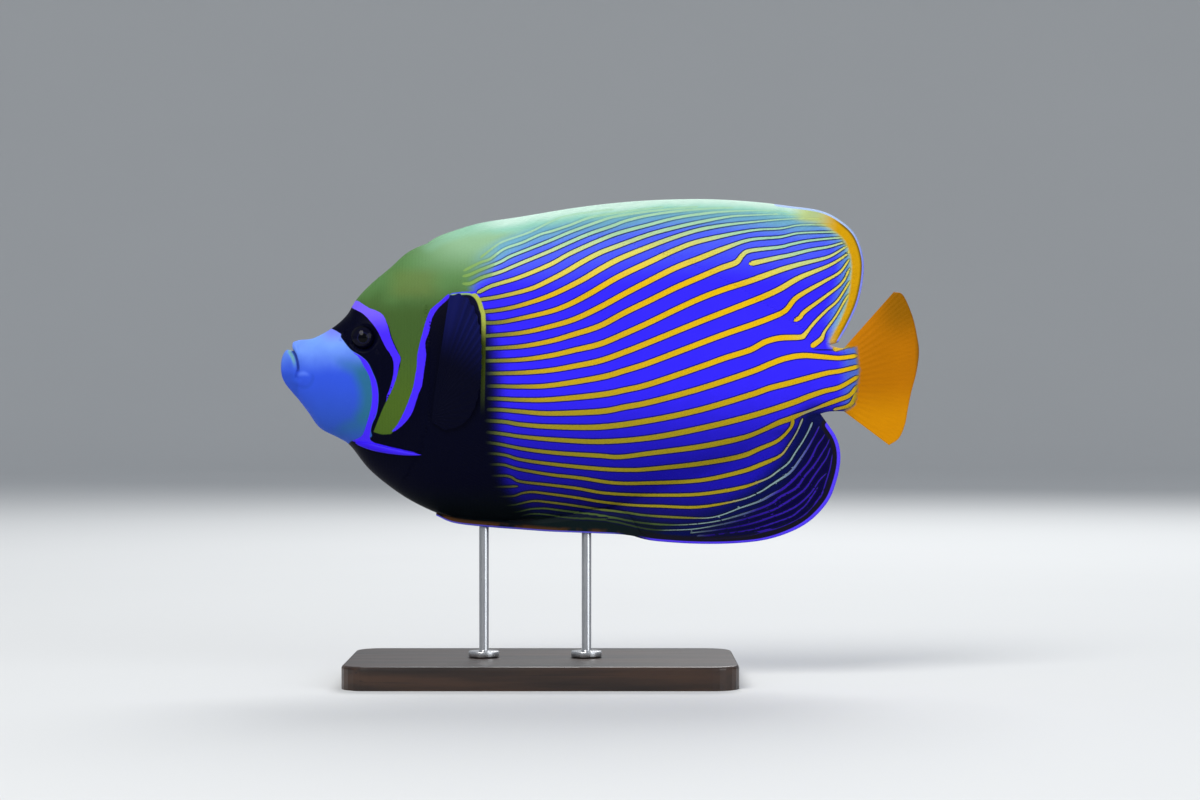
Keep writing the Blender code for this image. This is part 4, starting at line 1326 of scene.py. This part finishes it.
    # face, mouth and the blue lines
    behind, above = more(run, 1, -12.4), more(height, 1, -156.2)     # from the bulge behind the lips
    bulge = sums(group, "SQRT", more(both(group, behind, behind), above, above))
    faceColour = lay(
        colours["faceTop"],
        ("faceMiddle", (more(height, cloud, 8), 184, 160)),
        ("faceCrest", (height, 172, 181), (run, 18, 27)),
        ("faceLow", (height, 158, 124)),
        ("faceEdge", (more(face, cloud, 2), 14.5, 7), (height, 170, 158), (height, 122, 138), 0.85),
        ("lipPaleAndHighlight", (run, 17, 10), (height, 169, 173), 0.7),
        ("lipDarkAndShadow", (run, 10.5, 8.5), (height, 161, 157), 0.6),
        # painted highlight along the top edge of the lower lip, beside the groove
        ("lipHighlight", (away(more(1.7, mouthGap, 1)), 1.5, 0.2), (run, 10, 8.8), (height, 160.5, 167), 0.85),
        # painted shadow: a dark crescent round the lower rear of the bulge at the lip's corner
        ("lipDarkAndShadow", (away(more(bulge, 1, -4.9)), 1.6, 0.2), (more(run, height, -1), -143.5, -138), 0.4),
        # painted highlight on the upper part of the bulge at the lip's corner
        ("lipPaleAndHighlight", (bulge, 4.4, 2.4), (height, 156.5, 159), 0.45),
        # painted shadow in the groove between the lips
        ("mouthGap", (away(mouthGap), 1.1, 0.35), (height, 158.5, 161.5), 0.8))
    bandColour = lay(colours["bandLine"], ("bandLineTop", (height, 178, 192), (run, 62, 54)))
    colour = lay(
        colour,
        (faceColour, (face, 0.1, 0.6)),
        (bandColour, (more(lines, ragged, 0.3), 0.25, 0.65)))

    # tail, and the seam between its stalk and the dorsal fin
    tailReach = more(tail, ragged, 1.6)
    tailColour = lay(
        colours["tail"],
        # painted light: the lower part of the tail lighter; painted shade: its upper rear darker
        ("tailPaintedLight", (height, 156, 134)),
        ("tailPaintedShade", (height, 172, 192), (run, 304, 321)),
        ("tailRim", (run, 330, 332.8), 0.5))
    colour = lay(
        colour,
        ("tailRoot", (tailReach, -2.2, -0.2), 0.7),
        (tailColour, (tailReach, -0.9, 1)),
        ("lineEdge", (away(more(height, 1, -170.9)), 0.6, 0.2), (run, 272, 278), (run, 288, 284), 0.8))

    shade = both(group, more(0.94, cloud, 0.12), given["Brightness"])
    tone = addNode(group, "ShaderNodeVectorMath", {0: colour, "Scale": shade}, operation="SCALE")
    feed(group, wanted, {"Colour": tone, "Roughness": more(0.36, cloud, 0.14)})
    return group


skinLines = makeSkinLines()
scaleLines = makeScaleLines()
fishPaint = makeFishPaint()


def fishMaterial(name, lineGroup, grain):
    look, tree, shader, place = newMaterial(name, (0.1, 0.1, 0.5), 0.45)
    depth = groupNode(tree, lineGroup, {})["Depth"]
    painted = groupNode(tree, fishPaint, {"Line Depth": depth, "Brightness": 1.0})
    feed(tree, shader, {"Base Color": painted["Colour"], "Roughness": painted["Roughness"],
                        "Specular IOR Level": 0.04})
    addBump(tree, noise(tree, place, 700.0, 3.0), grain)
    return look


# Skin and tail fin


def addSheet(name):
    # a grid with its points moved to one of the sheets
    run, height, half = sheets[name]
    columns, rows = run.shape
    piece, u, v = addGrid(name, columns - 1, rows - 1)
    i = np.rint(u * (columns - 1)).astype(int)
    j = np.rint(v * (rows - 1)).astype(int)
    setPlaces(piece.data, run[i, j], -half[i, j], height[i, j])
    return piece


def makeWhole(names, name):
    # joins sheets along their shared edges, mirrors them to the right side and swings the tail
    pieces = [addSheet(part) for part in names]
    for piece in pieces:
        piece.select_set(True)
    bpy.context.view_layer.objects.active = pieces[0]
    if len(pieces) > 1:
        bpy.ops.object.join()
    piece = bpy.context.object
    piece.name = name
    piece.data.name = name
    bpy.ops.object.mode_set(mode="EDIT")
    bpy.ops.mesh.select_all(action="SELECT")
    bpy.ops.mesh.remove_doubles(threshold=weldGap)
    bpy.ops.object.mode_set(mode="OBJECT")
    run, aside, height = fishPlaces(piece.data)
    addMarks(piece.data, skinMarks(run, -aside, height))
    modify(piece, "MIRROR", use_axis=(False, True, False), merge_threshold=weldGap)
    selectRims()
    bpy.ops.mesh.edge_face_add()
    turnFaces()
    run, aside, height = fishPlaces(piece.data)
    farRun, farHeight = swung(run, height)
    setPlaces(piece.data, farRun, aside + bend(run), farHeight)
    bpy.ops.object.shade_smooth()
    return piece


def addSkin():
    piece = makeWhole(("body", "jaw", "lip", "dorsal", "anal"), "skin")
    piece.data.materials.append(fishMaterial("fishSkin", skinLines, 0.3))
    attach(piece, "root")
    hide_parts("head", "lower_jaw", "upper_lip", "trunk", "tail_stalk", "dorsal_fin", "anal_fin")


def addTail():
    piece = makeWhole(("tail",), "tailFan")
    piece.data.materials.append(fishMaterial("tailSkin", skinLines, 0.3))
    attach(piece, "root")
    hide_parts("tail_fin")


# Scales: thin closed plates that overlap towards the tail

scales = {
    "headPitch": 1.3,             # from one scale to the next on the cheek and along the flank
    "bodyPitch": 1.85,
    "pitchRuns": (24.0, 88.0),
    "rowShare": 1.04,             # from row to row around the body, in pitches
    "length": 1.62,               # in pitches
    "width": 1.10,
    "sunk": 0.03,                 # depth of its root in the skin
    "lift": 0.13,                 # rise of its rear end
    "dome": 0.03,
    "thickness": 0.08,
    "flatRuns": (14.0, 50.0),     # scales rise less on the front of the face and at the tail
    "flatShare": 0.25,
    "tailRuns": (300.0, 286.0),
    "tailShare": 0.3,
    "edgeMargin": 0.4,            # clear of the bare back and keel, in pitches
    "finShare": 0.84,             # share of the dorsal and anal fins that has scales
    "finMargin": 1.3,             # and how far they stay clear of its edge, in pitches
    "eyeGap": 8.0,
    "runs": (15.0, 300.0),
    "seed": 11,
    "jitter": 0.05,
    "parts": (15.0, 70.0, 108.0, 150.0, 192.0, 240.0, 300.0),   # runs where one mesh ends
    "patch": 0.003,               # size of a scale's patch on the coat's own map
    "mapMargin": 0.02,
}

# outline of a scale, as shares of its length and width, from one corner of its root round its tip
scaleRim = ((0.0, -0.32), (0.36, -0.5), (0.70, -0.48), (0.92, -0.28), (1.0, 0.0), (0.92, 0.28),
            (0.70, 0.48), (0.36, 0.5), (0.0, 0.32))
scaleMiddle = (0.6, 0.0)


def scaleTemplate():
    # corners: rim, middle, then the under side of the rim, which shares the two corners of the root
    rim = len(scaleRim)
    top = list(scaleRim) + [scaleMiddle]
    places = np.array(top + list(scaleRim[1:-1]))
    depth = np.array([0.0] * (rim + 1) + [1.0] * (rim - 2))
    dome = np.zeros(len(places))
    dome[rim] = 1.0
    under = [0] + list(range(rim + 1, 2 * rim - 1)) + [rim - 1]
    faces = [(k, (k + 1) % rim, rim) for k in range(rim)]
    for k in range(rim - 1):
        if k > 0:
            faces.append((k, under[k], under[k + 1]))
        if k < rim - 2:
            faces.append((k, under[k + 1], k + 1))
    faces += [(under[0], under[k + 1], under[k]) for k in range(1, rim - 1)]
    return places[:, 0], places[:, 1], depth, dome, faces, rim


def scaleRoots():
    # staggered columns of roots: run, distance around from the mid line, and pitch
    draw = np.random.default_rng(scales["seed"])
    run, last = scales["runs"]
    roots = []
    turn = 0
    while run < last:
        grown = float(easy(run, *scales["pitchRuns"]))
        pitch = scales["headPitch"] + (scales["bodyPitch"] - scales["headPitch"]) * grown
        row = pitch * scales["rowShare"]
        count = int(mapReach / row)
        around = (np.arange(-count, count) + 0.5 * (turn % 2)) * row
        roots.append(np.stack([np.full(len(around), run), around, np.full(len(around), pitch)], axis=-1))
        run += pitch
        turn += 1
    roots = np.vstack(roots)
    roots[:, :2] += draw.uniform(-1, 1, (len(roots), 2)) * scales["jitter"] * roots[:, 2:]
    return roots


def columnAt(run):
    # column of the map, beyond the body's end by the spacing of the tail's own columns
    bodyRuns = sheets["body"][0][:, 0]
    tailRuns = sheets["tail"][0][:, body["rows"] // 2]
    return (np.interp(run, bodyRuns, np.arange(len(bodyRuns)))
            + np.interp(run, tailRuns, np.arange(len(tailRuns))))


def keptRoots(roots):
    # roots that lie on the body or the inner part of a fin, clear of the eye
    run, around, pitch = roots.T
    column = columnAt(run)
    at = np.clip(np.rint(column).astype(int), 0, len(mapLimits) - 1)
    low, keelAt, backAt, high = mapLimits[at].T
    margin = scales["edgeMargin"] * pitch
    share = scales["finShare"]
    clear = scales["finMargin"] * pitch
    tip = run + scales["length"] * pitch
    top = np.where((high > backAt + 0.5) & (tip < fins["dorsalBase"][1]),
                   np.minimum(backAt + (high - backAt) * share, high - clear), backAt - margin)
    bottom = np.where((low < keelAt - 0.5) & (tip < fins["analBase"][1]),
                      np.maximum(keelAt + (low - keelAt) * share, low + clear), keelAt + margin)
    place = onMap(column, around)[0]
    eyeGap = np.hypot(place[:, 0] - head["eye"][0], place[:, 2] - head["eye"][1])
    return roots[(around < top) & (around > bottom) & (eyeGap > scales["eyeGap"])]


def onPatch(values, offset):
    # evenly over the coat's own map, with each plate spread out on a small patch
    lowest, highest = values.min(), values.max()
    margin = scales["mapMargin"]
    return margin + (1 - 2 * margin) * (values - lowest) / (highest - lowest) + offset * scales["patch"]


def addScales(name, roots, side, look):
    # all these scales on one side as one mesh
    along, across, depth, dome, faces, rim = scaleTemplate()
    size = len(along)
    root, around, pitch = (roots[:, k:k + 1] for k in range(3))
    place, normal = onMap(columnAt(root + along * pitch * scales["length"]),
                          around + across * pitch * scales["width"])
    rise = scales["flatShare"] + (1 - scales["flatShare"]) * easy(root, *scales["flatRuns"])
    rise = rise * (scales["tailShare"] + (1 - scales["tailShare"]) * easy(root, *scales["tailRuns"]))
    up = (scales["lift"] * along + scales["dome"] * dome) * rise - scales["sunk"]
    up = up - scales["thickness"] * depth
    place = place + normal * up[..., None]
    run, half, height = place[..., 0], np.maximum(place[..., 1], 0.02), place[..., 2]
    pattern = np.array(faces)
    if side > 0:
        pattern = pattern[:, ::-1]
    triangles = (pattern[None] + np.arange(len(roots))[:, None, None] * size).reshape(-1, 3)
    mesh = bpy.data.meshes.new(name)
    mesh.vertices.add(run.size)
    mesh.loops.add(triangles.size)
    mesh.loops.foreach_set("vertex_index", triangles.astype(np.int32).ravel())
    mesh.polygons.add(len(triangles))
    mesh.polygons.foreach_set("loop_start", np.arange(0, triangles.size, 3, dtype=np.int32))
    farRun, farHeight = swung(run, height)
    setPlaces(mesh, farRun, side * half + bend(run), farHeight)
    mesh.update(calc_edges=True)
    mesh.validate()
    addMarks(mesh, scaleMarks(run, half, height))
    ends = np.empty(len(mesh.edges) * 2, np.int32)
    mesh.edges.foreach_get("vertices", ends)
    first, second = np.sort(ends.reshape(-1, 2) % size, axis=1).T
    crisp = (second < rim) & ((second - first == 1) | ((first == 0) & (second == rim - 1)))
    sharp = mesh.attributes.new("sharp_edge", "BOOLEAN", "EDGE")
    sharp.data.foreach_set("value", crisp)
    layer = mesh.uv_layers.new(name="OFBake")
    patches = np.stack([onPatch(root, along - 0.5), onPatch(around, across)], axis=-1).reshape(-1, 2)
    layer.data.foreach_set("uv", patches[triangles.ravel()].astype(np.float32).ravel())
    piece = bpy.data.objects.new(name, mesh)
    scene.collection.objects.link(piece)
    mesh.shade_smooth()
    mesh.materials.append(look)
    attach(piece, "root")
    print("scales", name, len(roots), "plates", len(triangles), "triangles")


def addCoat():
    look = fishMaterial("fishScales", scaleLines, 0.15)
    roots = keptRoots(scaleRoots())
    names = ("head", "shoulder", "front", "middle", "rear", "stalk")
    for name, start, end in zip(names, scales["parts"], scales["parts"][1:]):
        part = roots[(roots[:, 0] >= start) & (roots[:, 0] < end)]
        for word, side in flanks:
            addScales(name + "Scales" + word.capitalize(), part, side, look)


# Eyes

eye = {
    "pupil": 2.5,
    "iris": 5.4,
    "bulge": 0.35,            # swell of the clear front of the eye, and its radius
    "bulgeRadius": 2.6,
    "pupilColour": (2, 3, 8),
    "irisColour": (8, 8, 34),
    "ringColour": (20, 22, 58),
    "whiteColour": (4, 4, 16),
}


def eyeMaterial():
    look, tree, shader, place = newMaterial("eyeGloss", (0.01, 0.01, 0.03), 0.06)
    away = markParts(tree, "eyeAway")[0]
    pupil, iris = eye["pupil"], eye["iris"]
    colour = blend(tree, noise(tree, place, 1500.0), tint(*eye["irisColour"]), tint(*eye["whiteColour"]))
    for share, start, end, name in ((0.8, pupil + 0.7, pupil + 0.2, "ringColour"),
                                    (1.0, pupil + 0.12, pupil - 0.12, "pupilColour"),
                                    (1.0, iris - 0.5, iris, "whiteColour")):
        colour = blend(tree, both(tree, fade(tree, away, start, end), share), colour, tint(*eye[name]))
    feed(tree, shader, {"Base Color": colour, "Specular IOR Level": 0.04, "Coat Weight": 0.12,
                        "Coat Roughness": 0.08})
    return look


def addEyes():
    look = eyeMaterial()
    run, height = head["eye"]
    for word, side in flanks:
        centre = ((run - halfLength) * mm, side * eyeDepth * mm, height * mm)
        ball = addPrimitive("eyeball" + word.capitalize(), bpy.ops.mesh.primitive_uv_sphere_add,
                            segments=64, ring_count=48, radius=head["eyeRadius"] * mm, location=centre,
                            rotation=(math.pi / 2, 0, 0))
        bpy.ops.object.transform_apply(location=True, rotation=True, scale=True)
        x, y, z = fishPlaces(ball.data)
        away = np.hypot(x - run, z - height)
        outer = (y - side * eyeDepth) * side > 0
        bulge = eye["bulge"] * mound(away, eye["bulgeRadius"]) * outer
        setPlaces(ball.data, x, y + side * bulge, z)
        addMarks(ball.data, {"eyeAway": [np.where(outer, away, 9.0)] * 3})
        bpy.ops.object.shade_smooth()
        ball.data.materials.append(look)
        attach(ball, "root")
        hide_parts("eye_" + word)


# Cheek spines

spine = {
    "start": (39.2, 123.2),
    "tip": (73.8, 117.0),
    "halfDepth": 2.0,
    "halfThickness": 1.35,
    "lift": 1.5,
    "colour": (54, 20, 236),
    "tipColour": (66, 38, 250),
    "cloudColour": (40, 14, 190),
    "tipRuns": (48.0, 72.0),
}


def spineMaterial():
    look, tree, shader, place = newMaterial("cheekSpine", (0.1, 0.03, 0.8), 0.45)
    share = fade(tree, runHeight(tree, place)[0], *spine["tipRuns"])
    colour = blend(tree, share, tint(*spine["colour"]), tint(*spine["tipColour"]))
    cloud = both(tree, noise(tree, place, 250.0, 3.0), 0.3)
    colour = blend(tree, cloud, colour, tint(*spine["cloudColour"]))
    feed(tree, shader, {"Base Color": colour, "Specular IOR Level": 0.12})
    addBump(tree, noise(tree, place, 600.0), 0.15)
    return look


def addSpines():
    look = spineMaterial()
    (startRun, startHeight), (tipRun, tipHeight) = spine["start"], spine["tip"]
    for word, side in flanks:
        piece = addPrimitive("cheekSpine" + word.capitalize(), bpy.ops.mesh.primitive_uv_sphere_add,
                             segments=32, ring_count=48, radius=1.0)
        x, y, z = meshPlaces(piece.data).T
        t = (1 - z) / 2
        ring = np.sqrt(np.clip(1 - z ** 2, 1e-9, 1))
        thick = np.clip(np.sqrt(np.clip(t, 0, 1)) * 1.9, 0, 1) ** 0.7 * np.clip(1 - t ** 2.2, 0, 1) ** 0.8
        thick = thick * (np.abs(z) < 0.9999)
        run = startRun + (tipRun - startRun) * t
        height = startHeight + (tipHeight - startHeight) * (1 - (1 - t) ** 1.5)
        out = plainHalf(run, height) + spine["lift"] * t + x / ring * thick * spine["halfThickness"]
        setPlaces(piece.data, run, side * out, height + y / ring * thick * spine["halfDepth"])
        turnFaces()
        bpy.ops.object.shade_smooth()
        piece.data.materials.append(look)
        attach(piece, "root")
        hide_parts("cheek_spine_" + word)


# Pectoral fans and pelvic blades

pectoral = {
    "root": ((79.4, 133.8), (80.6, 147.0)),
    "edge": ((86.0, 129.6), (94.0, 132.0), (100.5, 139.0), (103.8, 150.0), (105.0, 164.0), (104.4, 179.0),
             (101.6, 191.0), (97.0, 197.6), (92.0, 199.4), (88.4, 198.4)),
    "lift": 4.0,
    "gap": 0.75,
    "rays": 17,
    "scallop": 0.018,         # depth of the notches between the rays, as a share of the length
    "thickness": 0.5,
    "ridge": 0.07,
    "web": (10, 14, 62),
    "ray": (15, 20, 80),
    "lead": (18, 22, 84),
    "low": (2, 3, 24),
    "lowFrom": (246.0, 214.0),  # height and 0.6 of the run together, where it darkens
}
pelvic = {
    "depth": ((80.5, 1.5), (92.0, 3.4), (124.0, 4.2), (145.0, 8.4), (160.0, 12.0), (174.0, 12.6),
              (181.0, 9.0), (186.0, 1.6)),
    "tuck": 2.0,              # how far it reaches above the keel
    "offCentre": 4.1,
    "rearOffCentre": 1.9,     # where it meets the anal fin, behind the rods
    "rearRuns": (163.0, 184.0),
    "thickness": 0.7,
    "rays": 5,
    "ridge": 0.12,
    "rim": (84, 80, 190),
    "warm": (84, 52, 22),
}


def pectoralMaterial():
    look, tree, shader, place = newMaterial("pectoralFan", (0.02, 0.02, 0.1), 0.42)
    web, ray, lead, low = (tint(*pectoral[name]) for name in ("web", "ray", "lead", "low"))
    across, out, leading = markParts(tree, "fan")
    wave = sums(tree, "COSINE", both(tree, across, 2 * math.pi))
    colour = blend(tree, fade(tree, wave, 0.1, 0.9), web, ray)
    colour = blend(tree, both(tree, fade(tree, leading, 0.0, 1.0), 0.9), colour, lead)
    colour = blend(tree, both(tree, noise(tree, place, 120.0, 3.0), 0.35), colour, web)
    run, height = runHeight(tree, place)
    colour = blend(tree, fade(tree, plus(tree, height, run, 0.6), *pectoral["lowFrom"]), colour, low)
    feed(tree, shader, {"Base Color": colour, "Specular IOR Level": 0.05})
    joints = sums(tree, "SINE", both(tree, out, 190.0))
    addBump(tree, plus(tree, wave, joints, 0.12), 0.15)
    return look


def pelvicMaterial():
    # the fish's paint with a violet lower rim and warm clouds
    look = fishMaterial("pelvicBlade", skinLines, 0.15)
    tree = look.node_tree
    shader = tree.nodes["Principled BSDF"].inputs
    colour = shader["Base Color"].links[0].from_socket
    along, up, above = markParts(tree, "fan")
    cloud = noise(tree, shadedPlace(tree), 90.0, 3.0)
    warm = both(tree, fade(tree, cloud, 0.42, 0.54), fade(tree, above, 3.0, 1.2),
                fade(tree, along, 0.95, 0.86), 0.7)
    rim = both(tree, fade(tree, above, 0.85, 0.5), fade(tree, along, 0.92, 0.82))
    for share, name in ((warm, "warm"), (rim, "rim")):
        colour = blend(tree, share, colour, tint(*pelvic[name]))
    feed(tree, shader, {"Base Color": colour})
    return look


def finishFan(piece, fan, thickness, look, node):
    addMarks(piece.data, {"fan": fan})
    modify(piece, "SOLIDIFY", thickness=thickness * mm, offset=0.0)
    turnFaces()
    bpy.ops.object.shade_smooth_by_angle(angle=math.radians(60))
    piece.data.materials.append(look)
    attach(piece, "root")
    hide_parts(node)


def addPectorals():
    look = pectoralMaterial()
    edge = smoothPath(pectoral["edge"])
    low, high = np.array(pectoral["root"])
    for word, side in flanks:
        piece, u, v = addGrid("pectoralFan" + word.capitalize(), 136, 40)
        root = low + (high - low) * u[:, None]
        wave = np.cos(2 * math.pi * pectoral["rays"] * u)
        scallop = 1 - pectoral["scallop"] * (1 - wave) / 2
        run, height = (root + (alongPath(edge, u) - root) * (v * scallop)[:, None]).T
        lift = pectoral["lift"] * v ** 1.5 * u + pectoral["ridge"] * wave * np.clip(v * 3, 0, 1)
        setPlaces(piece.data, run, side * (plainHalf(run, height) + pectoral["gap"] + lift), height)
        fan = (u * pectoral["rays"], v, easy(u, 0.86, 0.97))
        finishFan(piece, fan, pectoral["thickness"], look, "pectoral_fin_" + word)


def addPelvics():
    look = pelvicMaterial()
    depth = smoothPath(pelvic["depth"])
    for word, side in flanks:
        piece, u, v = addGrid("pelvicBlade" + word.capitalize(), 120, 14)
        run = pelvicEdge[0, 0] + (pelvicEdge[-1, 0] - pelvicEdge[0, 0]) * u
        bottom = valueAt(pelvicEdge, run)
        belly = valueAt(keel, run)
        height = bottom + (np.minimum(bottom + valueAt(depth, run), belly + pelvic["tuck"]) - bottom) * v
        ridge = np.cos(2 * math.pi * pelvic["rays"] * v) * np.clip(u * 4, 0, 1)
        out = pelvic["offCentre"] + pelvic["ridge"] * ridge
        leaning = plainHalf(run, np.maximum(height, belly + 0.05)) + pelvic["thickness"] / 2
        out = out + (np.clip(leaning, 3.0, out) - out) * easy(v, 0.5, 1.0)
        out = out + (pelvic["rearOffCentre"] - out) * easy(run, *pelvic["rearRuns"])
        setPlaces(piece.data, run, side * out, height)
        addMarks(piece.data, skinMarks(run, out, height))
        finishFan(piece, (u, v, height - bottom), pelvic["thickness"], look, "pelvic_fin_" + word)


# Display stand

stand = {
    "rodRadius": 2.5,
    "flangeRadius": 8.0,
    "flangeHeight": 3.0,
    "chamfer": 0.54,
    "steelDark": (0.52, 0.53, 0.55),
    "steel": (0.66, 0.66, 0.67),
    "wood": (62, 40, 26),
    "woodDark": (30, 18, 12),
}


def rodMaterial():
    look, tree, shader, place = newMaterial("brushedSteel", (0.60, 0.60, 0.62), 0.28, 1.0)
    brushed = noise(tree, stretched(tree, place, (1.0, 1.0, 0.02)), 6000.0)
    colour = blend(tree, noise(tree, place, 40.0), (*stand["steelDark"], 1), (*stand["steel"], 1))
    feed(tree, shader, {"Base Color": colour, "Roughness": plus(tree, 0.18, brushed, 0.22)})
    return look


def addRods():
    look = rodMaterial()
    radius, tall = stand["flangeRadius"] * mm, stand["flangeHeight"] * mm
    for word in ("front", "rear"):
        low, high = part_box("stand_rod_" + word)
        middle = (low + high) / 2
        piece = addPrimitive("standRod" + word.capitalize(), bpy.ops.mesh.primitive_cylinder_add,
                             vertices=64, radius=radius, depth=tall,
                             location=(middle.x, middle.y, low.z + tall / 2))
        bpy.ops.object.transform_apply(location=True, rotation=True, scale=True)
        bpy.ops.object.mode_set(mode="EDIT")
        bpy.ops.mesh.select_mode(type="FACE")
        bpy.ops.mesh.select_all(action="DESELECT")
        bpy.ops.object.mode_set(mode="OBJECT")
        for face in piece.data.polygons:
            face.select = face.normal.z > 0.9
        bpy.ops.object.mode_set(mode="EDIT")
        bpy.ops.mesh.inset(thickness=radius - stand["rodRadius"] * mm, depth=0)
        bpy.ops.mesh.extrude_region_move(TRANSFORM_OT_translate={"value": (0, 0, high.z - low.z - tall)})
        bpy.ops.object.mode_set(mode="OBJECT")
        modify(piece, "BEVEL", width=stand["chamfer"] * mm, segments=3, limit_method="ANGLE",
               angle_limit=math.radians(50))
        bpy.ops.object.shade_smooth_by_angle(angle=math.radians(40))
        piece.data.materials.append(look)
        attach(piece, "root")
        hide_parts("stand_rod_" + word)


def finishBase():
    look, tree, shader, place = newMaterial("stainedWood", (0.09, 0.05, 0.03), 0.38)
    wood, dark = tint(*stand["wood"]), tint(*stand["woodDark"])
    grain = noise(tree, stretched(tree, place, (3.0, 38.0, 38.0)), 3.0, 6.0)
    pores = noise(tree, stretched(tree, place, (12.0, 700.0, 700.0)), 1.5)
    colour = blend(tree, fade(tree, grain, 0.35, 0.68), dark, wood)
    colour = blend(tree, fade(tree, pores, 0.62, 0.75), colour, dark)
    feed(tree, shader, {"Base Color": colour, "Roughness": plus(tree, 0.22, pores, 0.25)})
    addBump(tree, pores, 0.2, 0.0003)
    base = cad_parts["stand_base"]
    base.data.materials.clear()
    base.data.materials.append(look)


addCamera()
addLights()
addFloor()
print("studio ready")
addSkin()
print("skin made")
addTail()
print("tail made")
addEyes()
addSpines()
print("eyes and cheek spines made")
addPectorals()
addPelvics()
print("paired fins made")
addRods()
finishBase()
print("stand made")
addCoat()
print("coat made")
